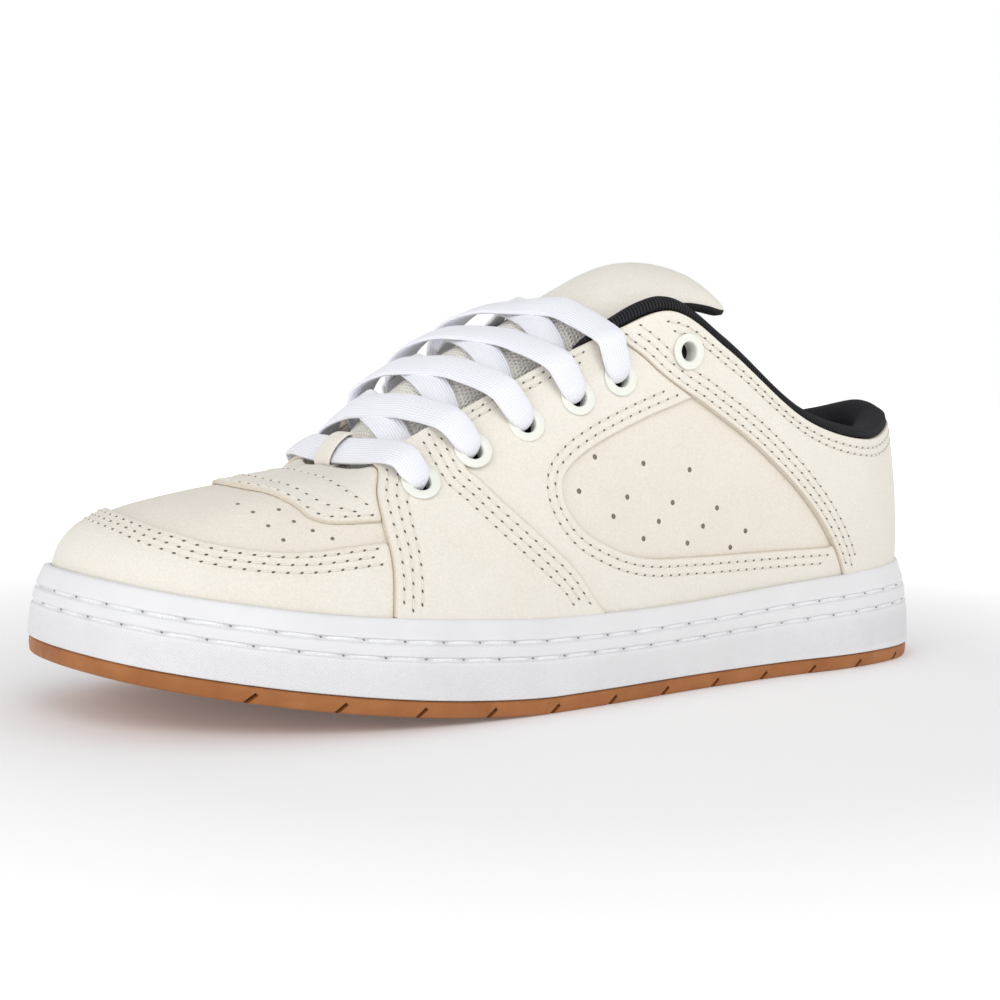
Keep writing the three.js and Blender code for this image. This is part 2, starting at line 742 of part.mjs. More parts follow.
function toeCapSolid() {
  return firstLayer.intersect(frontBlock(-clearance))
    .subtract(planPrism(archOutline(capRows, capTip)));
}

function vampArchSolid() {
  return firstLayer.intersect(frontBlock(-clearance))
    .intersect(planPrism(archOutline(archRows, archTip)));
}

// Collar lining: a padded roll over the edge of the collar, from ear to ear round the heel
function collarSolid() {
  const reach = stations.filter((station) => station > collarStart && station < turn - collarStart);
  const rings = reach.map((station, i) => {
    const round = Math.max(Math.sin((Math.PI * i) / (reach.length - 1)), 0);
    const pad = collarPad * (collarEndPad + (1 - collarEndPad) * round);
    const drop = collarDrop * (collarEndDrop + (1 - collarEndDrop) * Math.sqrt(round));
    const up = skinPoint(station, 1).sub(skinPoint(station, 1 - smallStep)).normalize();
    const out = skinNormal(station, 1);
    return collarRows.map((row) => {
      const offset = row.out * topLayerRise + row.wall * (upperInner - 2 * clearance) - row.pad * pad;
      if (row.up < 0) return skinOffset(station, heightBelowEdge(station, -row.up * drop), offset);
      return skinPoint(station, 1).addScaledVector(up, row.up * collarRoll).addScaledVector(out, offset);
    });
  });
  return solidOf(bandGeometry(rings, false));
}

// Tongue: a padded arch from under the vamp to above the ears, with a rolled top end
const tongueCurve = openCurve(
  tongueRows.map((_, i) => i),
  tongueRows.map((row) => [row.along * shoeLength, row.crown * earHeight, row.half * ballWidth,
    row.drop * earHeight, row.thick * tongueThickness]),
);

function tonguePoint(row, across, depth) {
  const [x, crown, half, drop] = tongueCurve(row);
  const [ahead, aheadCrown] = tongueCurve(row + smallStep);
  const [behind, behindCrown] = tongueCurve(row - smallStep);
  const way = new THREE.Vector2(ahead - behind, aheadCrown - behindCrown).normalize();
  const angle = THREE.MathUtils.degToRad(across * tongueSweep);
  const out = new THREE.Vector3(way.y * Math.cos(angle), Math.sin(angle), -way.x * Math.cos(angle));
  const y = tongueSide * ballWidth + half * Math.sin(angle);
  return new THREE.Vector3(x, y, crown - drop * (1 - Math.cos(angle))).addScaledVector(out, -depth);
}

function tongueSolid() {
  const last = tongueRows.length - 1;
  const rings = Array.from({ length: tongueSteps + 1 }, (_, i) => {
    const row = (last * i) / tongueSteps;
    const thick = tongueCurve(row)[4];
    const under = [...tongueShares].reverse().slice(1, -1);
    return [
      ...tongueShares.map((a) => tonguePoint(row, a, Math.abs(a) === 1 ? thick * tongueEdge : 0)),
      ...under.map((a) => tonguePoint(row, a, thick * (1 - tongueThinning * a * a))),
    ];
  });
  return solidOf(bandGeometry(rings, false));
}

// Lace: flat bands over the tongue, each from under one eyestay to the next eyelet across
function bandSolid(path) {
  const curve = new THREE.CatmullRomCurve3(path.map((stop) => stop.point));
  const faces = new THREE.CatmullRomCurve3(path.map((stop) => stop.normal));
  const rings = Array.from({ length: laceSteps + 1 }, (_, i) => {
    const share = i / laceSteps;
    const centre = curve.getPoint(share);
    const way = curve.getTangent(share);
    const side = faces.getPoint(share).cross(way).normalize().multiplyScalar(laceWidth / 2);
    const up = way.clone().cross(side).normalize().multiplyScalar(laceThickness / 2);
    const corner = (a, b) => centre.clone().addScaledVector(side, a).addScaledVector(up, b);
    return [corner(-1, -1), corner(-1, 1), corner(1, 1), corner(1, -1)];
  });
  return solidOf(bandGeometry(rings, false));
}

const onTongue = (row, across, lift) => ({
  point: tonguePoint(row, across, -lift),
  normal: tonguePoint(row, across, -1).sub(tonguePoint(row, across, 0)),
});
const offSkin = (station, height, offset) => ({
  point: skinOffset(station, height, offset),
  normal: skinNormal(station, height),
});

function eyeletEnd(row, side) {
  const place = places.find((one) => one.row === row && one.side === side);
  const point = place.point.clone().addScaledVector(place.normal, laceOverEyelet);
  return { point, normal: place.normal };
}

function crossingSolid(row, side) {
  const station = eyeletRows[row].station - laceSlant;
  const edge = offSkin(side > 0 ? station : turn - station, 1, laceOverEdge);
  const over = side > 0 ? laceThickness : 0;
  const stops = crossingRows.map((stop) => onTongue(
    firstTongueRow + row - 1 + stop.row,
    side * stop.across,
    laceLift + stop.over * over,
  ));
  return bandSolid([...stops, edge, eyeletEnd(row, side)]);
}

// First bar: straight across the front of the throat, tilted to face forward
function barSolid() {
  const tilt = THREE.MathUtils.degToRad(barTilt);
  const middle = barRows.map((stop) => ({
    point: new THREE.Vector3(stop.along * shoeLength, stop.across * ballWidth, stop.up * earHeight),
    normal: new THREE.Vector3(Math.sin(tilt), 0, Math.cos(tilt)),
  }));
  const lateral = offSkin(barStation, 1, laceOverEdge);
  const medial = offSkin(turn - barStation, 1, laceOverEdge);
  return bandSolid([eyeletEnd(0, 1), lateral, ...middle, medial, eyeletEnd(0, -1)]);
}

// Lace loop: a folded tab at the front of the throat that the first bar runs through
function laceLoopGeometry() {
  const oval = (wide, high) => new THREE.EllipseCurve(0, 0, wide, high).getPoints(loopFacets).slice(0, -1);
  const shape = new THREE.Shape(oval(loopLong / 2, loopHigh / 2));
  shape.holes.push(new THREE.Path(oval(loopLong / 2 - loopStrip, loopHigh / 2 - loopStrip)));
  const loop = new THREE.ExtrudeGeometry(shape, { depth: loopWidth, bevelEnabled: false });
  loop.rotateX(Math.PI / 2);
  loop.translate(0, loopWidth / 2, 0);
  return loop;
}

function addPart(group, name, geometry, material) {
  const mesh = new THREE.Mesh(geometry, material);
  mesh.name = name;
  group.add(mesh);
  return mesh;
}

const outlineSides = stations.map((station) => outlinePoint(station).y);
const centreY = (Math.max(...outlineSides) + Math.min(...outlineSides)) / 2;

// The origin is the middle of the sole's box on the floor
const shoe = new THREE.Group();
shoe.position.set(-shoeLength / 2, -centreY, 0);
addPart(shoe, 'outsole', geometryOf(outsoleSolid()), finishes.gum);
addPart(shoe, 'cup', geometryOf(solidOf(stackGeometry(cupLevels()))), finishes.cup);
addPart(shoe, 'insole', insoleGeometry(), finishes.foam);
addPart(shoe, 'upper', geometryOf(upperSolid()), finishes.suede);
addPart(shoe, 'toe_cap', geometryOf(toeCapSolid()), finishes.suede);
addPart(shoe, 'vamp_arch', geometryOf(vampArchSolid()), finishes.suede);
addPart(shoe, 'saddle_lateral', geometryOf(saddleSolid(1)), finishes.suede);
addPart(shoe, 'saddle_medial', geometryOf(saddleSolid(-1)), finishes.suede);
addPart(shoe, 'eyestay_lateral', geometryOf(eyestaySolid(1)), finishes.suede);
addPart(shoe, 'eyestay_medial', geometryOf(eyestaySolid(-1)), finishes.suede);
addPart(shoe, 'rear_panel', geometryOf(rearPanelSolid()), finishes.suede);
addPart(shoe, 'collar_lining', geometryOf(collarSolid()), finishes.lining);
addPart(shoe, 'tongue', geometryOf(tongueSolid()), finishes.knit);
addPart(shoe, 'lace_bar', geometryOf(barSolid()), finishes.lace);
for (let row = 1; row < eyeletRows.length - 1; row += 1) {
  const crossing = crossingSolid(row, -1).add(crossingSolid(row, 1));
  addPart(shoe, `lace_crossing_${row}`, geometryOf(crossing), finishes.lace);
}
const loop = addPart(shoe, 'lace_loop', laceLoopGeometry(), finishes.suede);
loop.position.set(loopRow.along * shoeLength, loopRow.across * ballWidth, loopRow.up * earHeight);
loop.rotation.y = THREE.MathUtils.degToRad(barTilt);
places.forEach((place) => {
  const eyelet = addPart(shoe, place.name, eyeletGeometry(eyeletFace(place)), finishes.eyelet);
  eyelet.position.copy(place.point);
  eyelet.quaternion.copy(eyeletTurn(place));
});

export default shoe;
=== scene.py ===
# Low skateboarding shoe, left foot: the suede, knit, rubber, laces and stitching around its solids.
# Metres. Shoe coordinates run from the heel (x = 0) to the toe, +y to the lateral side, +z up.
import math

import bmesh
import bpy
import numpy as np
from mathutils import Matrix, Vector, kdtree


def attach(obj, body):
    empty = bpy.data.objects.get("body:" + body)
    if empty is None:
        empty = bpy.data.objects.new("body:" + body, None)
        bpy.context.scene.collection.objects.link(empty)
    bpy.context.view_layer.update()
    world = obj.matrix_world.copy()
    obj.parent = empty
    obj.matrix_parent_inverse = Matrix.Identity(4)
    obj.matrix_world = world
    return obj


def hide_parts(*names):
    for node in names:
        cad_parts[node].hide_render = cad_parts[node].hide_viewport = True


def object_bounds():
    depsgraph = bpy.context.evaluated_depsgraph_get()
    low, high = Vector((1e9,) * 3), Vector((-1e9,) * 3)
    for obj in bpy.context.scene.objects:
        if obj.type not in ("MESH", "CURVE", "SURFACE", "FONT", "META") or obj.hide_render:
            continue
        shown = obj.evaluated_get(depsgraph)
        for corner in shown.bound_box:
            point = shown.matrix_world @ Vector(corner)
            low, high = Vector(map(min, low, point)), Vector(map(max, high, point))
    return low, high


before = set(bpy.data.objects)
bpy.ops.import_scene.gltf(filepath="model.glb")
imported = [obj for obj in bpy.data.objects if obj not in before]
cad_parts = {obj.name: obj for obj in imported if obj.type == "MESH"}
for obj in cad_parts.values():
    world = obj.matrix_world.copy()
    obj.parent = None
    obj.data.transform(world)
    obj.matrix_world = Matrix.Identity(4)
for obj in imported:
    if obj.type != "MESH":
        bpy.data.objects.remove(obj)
cad_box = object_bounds()

MM = 0.001

# Driving sizes, the same as those of the solids
SHOE_LENGTH = cad_box[1].x - cad_box[0].x
BALL_WIDTH = 109 * MM
EAR_HEIGHT = 111.5 * MM
TOE_SPRING = 16 * MM
SPRING_START = 178 * MM
SPRING_CURVE = 1.5
WALL_AT_HEEL = 33 * MM
GUM_THICKNESS = 4.6 * MM
GUM_INSET = 0.5 * MM
WALL_FLARE = 4.3 * MM
RIM_LIP = 1.6 * MM
FOOTBED_AT_HEEL = 15 * MM
FOOTBED_AT_BALL = 10.5 * MM
TREAD_DEPTH = 2.4 * MM
TREAD_GROOVE = 1.1 * MM
TREAD_PITCH = 21.5 * MM
TREAD_START = 7.8 * MM
TREAD_TILT = math.radians(50)
CLEARANCE = 0.3 * MM
LAYER = 1 * MM
TOP_LAYER_RISE = 0.9 * MM
UPPER_WALL = 2.2 * MM
INSOLE_THICKNESS = 4 * MM
COLLAR_ROLL = 4.6 * MM
COLLAR_PAD = 7 * MM
COLLAR_END_PAD = 0.35
COLLAR_DROP = 24 * MM
COLLAR_END_DROP = 0.45
COLLAR_START = 6.3
COLLAR_FULL = 7.0
TONGUE_THICKNESS = 8 * MM
TONGUE_SWEEP = math.radians(80)
TONGUE_SIDE = -0.019
EYELET_RADIUS = 5.45 * MM
EYELET_BORE = 2.85 * MM
EYELET_BARREL = 3.5 * MM
EYELET_INSET = 13.5 * MM
LACE_WIDTH = 9.2 * MM
LACE_THICKNESS = 1.7 * MM
UPPER_OUTER = -LAYER - CLEARANCE
UPPER_INNER = UPPER_OUTER - UPPER_WALL
BASE_INSET = WALL_FLARE + RIM_LIP + CLEARANCE

# Tables of the solids: along is a share of the length, sides of the ball width, up of the ear height
OUTLINE_TIP = (1, -0.078)
OUTLINE_HEEL = (0, -0.018)
OUTLINE_ROWS = [  # along, lateral, medial
    (0.986, 0.115, 0.248),
    (0.944, 0.289, 0.383),
    (0.857, 0.422, 0.477),
    (0.752, 0.484, 0.514),
    (0.646, 0.486, 0.500),
    (0.530, 0.457, 0.440),
    (0.411, 0.412, 0.394),
    (0.285, 0.381, 0.381),
    (0.166, 0.372, 0.381),
    (0.070, 0.307, 0.330),
    (0.013, 0.156, 0.193),
]
TURN = 2 * (len(OUTLINE_ROWS) + 1)
HEEL_STATION = TURN / 2
WALL_ROWS = [  # along, wall as a share of the wall at the heel
    (0, 1),
    (0.2, 0.894),
    (0.43, 0.764),
    (0.66, 0.776),
    (0.83, 0.727),
    (1, 0.7),
]
SECTION_ROWS = [  # station, x, lateral, medial, z, lean, low, crown, high
    (0, 0.740, -0.014, 0.014, 0.587, 12, 0.20, 83, 0.70),
    (1, 0.737, 0.055, 0.083, 0.583, 14, 0.21, 82, 0.66),
    (2, 0.732, 0.119, 0.151, 0.583, 18, 0.24, 78, 0.58),
    (3, 0.722, 0.174, 0.206, 0.597, 20, 0.28, 62, 0.45),
    (4, 0.688, 0.204, 0.239, 0.664, 18, 0.32, 40, 0.34),
    (5, 0.637, 0.218, 0.252, 0.738, 13, 0.33, 32, 0.33),
    (6, 0.543, 0.242, 0.270, 0.866, 9, 0.33, 24, 0.33),
    (6.7, 0.480, 0.266, 0.288, 0.942, 5, 0.33, 16, 0.33),
    (7.3, 0.418, 0.299, 0.310, 1, 2, 0.33, 10, 0.33),
    (8, 0.349, 0.312, 0.321, 0.906, -2, 0.33, 12, 0.33),
    (9, 0.240, 0.317, 0.335, 0.719, -6, 0.33, 20, 0.33),
    (10, 0.134, 0.286, 0.312, 0.660, -6, 0.33, 22, 0.33),
    (11, 0.048, 0.144, 0.180, 0.709, -7, 0.33, 24, 0.33),
    (12, 0.026, -0.018, 0.018, 0.744, -8, 0.33, 22, 0.33),
]
SADDLE_FRONT = [  # along, up
    (0.735, 0.75), (0.722, 0.62), (0.738, 0.53), (0.742, 0.46), (0.743, 0.38), (0.748, 0.30), (0.760, 0.16),
]
SADDLE_REAR = [
    (0.480, 0.16), (0.522, 0.235), (0.549, 0.33), (0.582, 0.41), (0.617, 0.493), (0.643, 0.566),
    (0.655, 0.612), (0.672, 0.85),
]
WINDOW_CURVE = [
    (0.340, 0.822), (0.398, 0.768), (0.459, 0.708), (0.518, 0.640), (0.549, 0.582), (0.556, 0.530),
    (0.548, 0.470), (0.524, 0.412), (0.466, 0.357), (0.386, 0.347), (0.200, 0.350),
]
REAR_SEAM = [
    (0.490, 1.00), (0.472, 0.922), (0.450, 0.880), (0.428, 0.833), (0.402, 0.790), (0.372, 0.748),
    (0.302, 0.635), (0.228, 0.470), (0.180, 0.300), (0.160, 0.130),
]
REAR_BACK = [(-0.05, 0.130), (-0.05, 1.20), (0.46, 1.20)]
FRONT_BACK = [(1.1, 0.1), (1.1, 0.9), (0.735, 0.9)]
CAP_ROWS = [  # along, lateral, medial
    (0.742, 0.351, 0.380),
    (0.807, 0.329, 0.376),
    (0.848, 0.297, 0.349),
    (0.884, 0.248, 0.310),
    (0.906, 0.199, 0.273),
    (0.924, 0.114, 0.200),
]
CAP_TIP = (0.935, -0.045)
ARCH_ROWS = [
    (0.741, 0.320, 0.352),
    (0.783, 0.293, 0.330),
    (0.801, 0.261, 0.302),
    (0.808, 0.216, 0.262),
    (0.822, 0.136, 0.190),
]
ARCH_TIP = (0.839, -0.030)
ARCH_SEAM_1 = [
    (0.760, 0.292, 0.335),
    (0.783, 0.245, 0.292),
    (0.797, 0.167, 0.225),
    (0.807, 0.060, 0.130),
]
ARCH_SEAM_TIP_1 = (0.811, -0.035)
ARCH_SEAM_2 = [
    (0.749, 0.288, 0.325),
    (0.759, 0.235, 0.280),
    (0.764, 0.160, 0.215),
    (0.769, 0.050, 0.120),
]
ARCH_SEAM_TIP_2 = (0.771, -0.035)
PLAN_BACK = 0.6
COLLAR_ROWS = [  # up, out, wall, pad: shares of the roll or drop, the top layer, the wall and the padding
    (0.1, 0, 1, 0),
    (0.1, 0.4, 0, 0),
    (0.45, 0.6, 0, 0),
    (0.8, 0.2, 0.1, 0),
    (1, 0, 0.5, 0),
    (0.9, 0, 1, 0.45),
    (0.1, 0, 1, 1),
    (-0.5, 0, 1, 0.9),
    (-1, 0, 1, 0.17),
    (-1, 0, 1, 0),
    (-0.5, 0, 1, 0),
]
TONGUE_ROWS = [  # along, crown, half, drop, thick
    (0.800, 0.486, 0.170, 0.035, 0.35),
    (0.728, 0.545, 0.178, 0.060, 0.45),
    (0.690, 0.690, 0.172, 0.125, 0.8),
    (0.645, 0.800, 0.180, 0.145, 1),
    (0.590, 0.892, 0.196, 0.160, 1),
    (0.530, 0.965, 0.206, 0.165, 1),
    (0.462, 1.075, 0.222, 0.195, 1.1),
    (0.400, 1.145, 0.240, 0.170, 1.25),
    (0.345, 1.140, 0.240, 0.150, 1.35),
    (0.300, 1.078, 0.225, 0.130, 0.8),
]
EYELET_ROWS = [(4.22, 1.28), (4.98, 1), (5.58, 1), (6.14, 1), (6.66, 1), (7.42, 0.83)]
TOP_EYELETS = (0, 1, 5)

# What the solids leave out: seams, holes and how finely each form is drawn
EDGE_ROUND = 0.35 * MM
COLUMNS_A_STATION = 26
SKIN_ROWS = 58
STITCH_PITCH = 3.6 * MM
STITCH_TROUGH = 0.22 * MM
STITCH_TROUGH_WIDTH = 1.1 * MM
PERFORATION_STEP = (-0.0595, 0.032)
PERFORATION_ROWS = [  # along, up, count
    (0.512, 0.619, 3),
    (0.535, 0.533, 4),
    (0.495, 0.466, 4),
    (0.457, 0.404, 4),
]
PERFORATION_RADIUS = 0.8 * MM
VAMP_HOLE_ROWS = [  # along, lateral
    (0.851, 0.153), (0.844, 0.200), (0.8375, 0.247), (0.830, 0.287),
    (0.822, 0.213), (0.815, 0.255), (0.803, 0.289), (0.789, 0.3165),
]
VAMP_HOLE_RADIUS = 0.55 * MM

SHIFT = Vector((cad_box[0].x, 1.35 * MM, 0))


def ring_curve(places, rows, whole):
    """Smooth closed curve through rows at uneven places on a ring."""
    places = np.array(places, float)
    rows = np.array(rows, float)
    count = len(rows)

    def at(value):
        spot = np.mod(value, whole)
        i = np.searchsorted(places, spot, side="right") - 1

        def place(k):
            return places[k % count] + whole * (k // count)

        def row(k):
            return rows[k % count]

        span = place(i + 1) - place(i)
        s = ((spot - place(i)) / span)[..., None]
        before = (row(i + 1) - row(i - 1)) / (place(i + 1) - place(i - 1))[..., None]
        after = (row(i + 2) - row(i)) / (place(i + 2) - place(i))[..., None]
        rise = s * s * (3 - 2 * s)
        lead = before * s * (1 - s) ** 2 + after * s * s * (s - 1)
        return row(i) + (row(i + 1) - row(i)) * rise + lead * span[..., None]

    return at


def open_curve(places, rows):
    """Smooth open curve through rows at rising places."""
    places = np.array(places, float)
    rows = np.array(rows, float)
    last = len(rows) - 1

    def slope(j):
        a = np.clip(j - 1, 0, last)
        b = np.clip(j + 1, 0, last)
        return (rows[b] - rows[a]) / (places[b] - places[a])[..., None]

    def at(value):
        spot = np.clip(value, places[0], places[last])
        i = np.clip(np.searchsorted(places, spot, side="left") - 1, 0, last - 1)
        span = (places[i + 1] - places[i])[..., None]
        s = (spot - places[i])[..., None] / span
        rise = s * s * (3 - 2 * s)
        lead = slope(i) * s * (1 - s) ** 2 + slope(i + 1) * s * s * (s - 1)
        return rows[i] + (rows[i + 1] - rows[i]) * rise + lead * span

    return at


def spline(points, steps=8):
    """Smooth open curve through 2D or 3D points."""
    last = len(points) - 1
    return open_curve(np.arange(last + 1), points)(np.linspace(0, last, last * steps + 1))


def both_sides(first, rows, last):
    """Both sides of a table as one ring: the lateral rows out, the medial rows back."""
    out = [(row[0], row[1]) for row in rows]
    back = [(row[0], -row[2]) for row in reversed(rows)]
    return [first, *out, last, *back]


outline_ring = np.array(both_sides(OUTLINE_TIP, OUTLINE_ROWS, OUTLINE_HEEL)) * (SHOE_LENGTH, BALL_WIDTH)
outline_point = ring_curve(np.arange(TURN), outline_ring, TURN)


def outline_normal(station):
    step = outline_point(station + 0.02) - outline_point(station - 0.02)
    step /= np.linalg.norm(step, axis=-1, keepdims=True)
    return np.stack([step[..., 1], -step[..., 0]], axis=-1)


def spring_at(x):
    share = np.clip((x - SPRING_START) / (SHOE_LENGTH - SPRING_START), 0, 1)
    return TOE_SPRING * share ** SPRING_CURVE


wall_curve = open_curve([row[0] for row in WALL_ROWS], [[row[1]] for row in WALL_ROWS])


def wall_at(x):
    return WALL_AT_HEEL * wall_curve(np.asarray(x, float) / SHOE_LENGTH)[..., 0]


def footbed_at(x):
    share = np.clip(x / SPRING_START, 0, 1)
    fall = (FOOTBED_AT_BALL - FOOTBED_AT_HEEL) * share * share * (3 - 2 * share)
    return spring_at(x) + FOOTBED_AT_HEEL + fall


def section_ring():
    def section(row, side):
        station, x, lateral, medial, z, lean, low, crown, high = row
        y = lateral if side > 0 else -medial
        return (x * SHOE_LENGTH, y * BALL_WIDTH, z * EAR_HEIGHT, lean, low, crown, high)

    inner = SECTION_ROWS[1:-1][::-1]
    places = [row[0] for row in SECTION_ROWS] + [TURN - row[0] for row in inner]
    rows = [section(row, 1) for row in SECTION_ROWS] + [section(row, -1) for row in inner]
    return ring_curve(places, rows, TURN)


section_at = section_ring()


def unit(vectors):
    return vectors / np.maximum(np.linalg.norm(vectors, axis=-1, keepdims=True), 1e-12)


def skin_point(station, height):
    """A point of the skin: height 0 is at the rim of the sole and 1 at the edge of the opening."""
    station, height = np.broadcast_arrays(np.asarray(station, float), np.asarray(height, float))
    foot = outline_point(station)
    out = outline_normal(station)
    x = foot[..., 0]
    foot = foot - BASE_INSET * out
    rim = spring_at(x) + wall_at(x)
    section = section_at(station)
    start = np.concatenate([foot, rim[..., None]], axis=-1)
    edge = section[..., :3]
    chord = np.linalg.norm(edge - start, axis=-1, keepdims=True)
    inward = unit(edge[..., :2] - foot)

    def slope(degrees, way):
        angle = np.radians(degrees)[..., None]
        return np.concatenate([way * np.sin(angle), np.cos(angle)], axis=-1)

    lower = start + slope(section[..., 3], -out) * section[..., 4:5] * chord
    upper = edge - slope(section[..., 5], inward) * section[..., 6:7] * chord
    t = np.maximum(height, 0)[..., None]
    rest = 1 - t
    skin = rest ** 3 * start + 3 * rest ** 2 * t * lower + 3 * rest * t ** 2 * upper + t ** 3 * edge
    depth = rim - footbed_at(x) - CLEARANCE
    skin[..., 2] += np.minimum(height, 0) * depth
    return skin


def skin_normal(station, height):
    step = 0.02
    low = np.maximum(height - step, -1)
    high = np.minimum(height + step, 1)
    along = skin_point(station + step, height) - skin_point(station - step, height)
    up = skin_point(station, high) - skin_point(station, low)
    return unit(np.cross(along, up))


def drape(points):
    """Soft hollows and swells of unstretched suede."""
    x, y, z = (points[..., k] / MM for k in range(3))
    wide = np.sin(x / 13 + 1.4 * np.sin(z / 17 + y / 29)) * np.sin(z / 12 + 0.7 * np.sin(x / 21))
    small = np.sin(x / 5.1 + z / 6.3 + np.sin(y / 7)) * np.sin(z / 4.7 - x / 8.9)
    return (0.2 * wide + 0.045 * small) * MM


def skin_offset(station, height, offset):
    points = skin_point(station, height)
    fade = np.clip(np.minimum(height, 1 - height) * 8, 0, 1)
    lift = np.asarray(offset) + fade * drape(points)
    return points + skin_normal(station, height) * np.asarray(lift)[..., None]


def height_below_edge(station, distance):
    """Height share of the point some way below the edge, measured along the section."""
    shares = np.linspace(1, 0, 61)
    points = skin_point(station, shares)
    length = np.concatenate([[0], np.cumsum(np.linalg.norm(np.diff(points, axis=0), axis=1))])
    return float(np.interp(distance, length, shares))


# Outlines of the panels in the side view (along, up) and in plan (along, side)
def side_outline(rows):
    return np.array(rows, float) * (SHOE_LENGTH, EAR_HEIGHT)


def plan_outline(rows, tip):
    lateral = [(row[0], row[1]) for row in rows]
    medial = [(row[0], -row[2]) for row in reversed(rows)]
    arch = spline([*lateral, tip, *medial])
    ends = [(PLAN_BACK, arch[-1][1]), (PLAN_BACK, arch[0][1])]
    return np.concatenate([arch, ends]) * (SHOE_LENGTH, BALL_WIDTH)


saddle_front = spline(side_outline(SADDLE_FRONT))
saddle_rear = spline(side_outline(SADDLE_REAR))
rear_seam = spline(side_outline(REAR_SEAM))
window_curve = spline(side_outline(WINDOW_CURVE))
saddle_shape = np.concatenate([saddle_front, saddle_rear])
rear_shape = np.concatenate([rear_seam, side_outline(REAR_BACK)])
front_shape = np.concatenate([saddle_front, side_outline(FRONT_BACK)])
window_shape = np.concatenate([window_curve, side_outline([(0.15, 0.40), (0.22, 0.70)])])
cap_shape = plan_outline(CAP_ROWS, CAP_TIP)
arch_shape = plan_outline(ARCH_ROWS, ARCH_TIP)


def polygon_distance(points, outline):
    """Distance of 2D points to a closed outline, negative inside."""
    flat = points.reshape(-1, 2)
    best = np.full(len(flat), np.inf)
    inside = np.zeros(len(flat), bool)
    for a, b in zip(outline, np.roll(outline, -1, axis=0)):
        way = b - a
        if not way.any():
            continue
        rel = flat - a
        share = np.clip(rel @ way / (way @ way), 0, 1)
        best = np.minimum(best, np.hypot(rel[:, 0] - share * way[0], rel[:, 1] - share * way[1]))
        crosses = (a[1] > flat[:, 1]) != (b[1] > flat[:, 1])
        if crosses.any():
            at = a[0] + rel[:, 1] / way[1] * way[0]
            inside ^= crosses & (flat[:, 0] < at)
    return np.where(inside, -best, best).reshape(points.shape[:-1])


def side_distance(points, outline):
    return polygon_distance(points[..., [0, 2]], outline)


def plan_distance(points, outline):
    return polygon_distance(points[..., [0, 1]], outline)


# Where the eyelets sit, as in the solids
def eyelet_places():
    found = []
    for side in (1, -1):
        for row, (at, inset) in enumerate(EYELET_ROWS):
            station = at if side > 0 else TURN - at
            height = height_below_edge(station, inset * EYELET_INSET)
            point = skin_point(station, height)
            normal = skin_normal(station, height)
            up = unit(skin_point(station, height + 0.02) - skin_point(station, height - 0.02))
            word = "lateral" if side > 0 else "medial"
            found.append({
                "name": f"eyelet_{word}_{row + 1}",
                "side": side,
                "row": row,
                "station": station,
                "height": height,
                "point": point,
                "normal": normal,
                "up": unit(up - normal * (up @ normal)),
                "seat": (TOP_LAYER_RISE if row in TOP_EYELETS else 0) + 0.25 * MM,
            })
    return found


eyelets = eyelet_places()


def hole_distance(points, radius):
    """Positive inside the eyelet holes, so that it cuts them out."""
    gaps = [np.linalg.norm(points - place["point"], axis=-1) for place in eyelets]
    return radius - np.min(gaps, axis=0)


def edge_distance(station, height):
    """Distance above the edge of the opening, negative below it."""
    span = np.linalg.norm(skin_point(station, 1) - skin_point(station, 0.9), axis=-1) / 0.1
    return (height - 1) * span


def low_distance(station, height, lowest):
    span = np.linalg.norm(skin_point(station, 0.2) - skin_point(station, 0), axis=-1) / 0.2
    return (lowest - height) * span


# Mesh helpers
def make_object(name, points, faces, material, attributes=None):
    mesh = bpy.data.meshes.new(name)
    mesh.from_pydata((np.asarray(points) + np.array(SHIFT)).tolist(), [], faces)
    mesh.validate()
    mesh.update()
    for key, values in (attributes or {}).items():
        layer = mesh.attributes.new(key, "FLOAT", "POINT")
        layer.data.foreach_set("value", np.asarray(values, np.float32))
    mesh.shade_smooth()
    obj = bpy.data.objects.new(name, mesh)
    bpy.context.scene.collection.objects.link(obj)
    obj.data.materials.append(material)
    return obj


def finish_piece(obj, replaced=()):
    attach(obj, "root")
    if replaced:
        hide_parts(*replaced)
    return obj


def ring_faces(start, size, rings, closed_ring=True, closed_stack=False):
    """Quads between rings of points that lie one after another."""
    faces = []
    for i in range(rings if closed_stack else rings - 1):
        a = start + i * size
        b = start + ((i + 1) % rings) * size
        for j in range(size if closed_ring else size - 1):
            k = (j + 1) % size
            faces.append((a + j, b + j, b + k, a + k))
    return faces


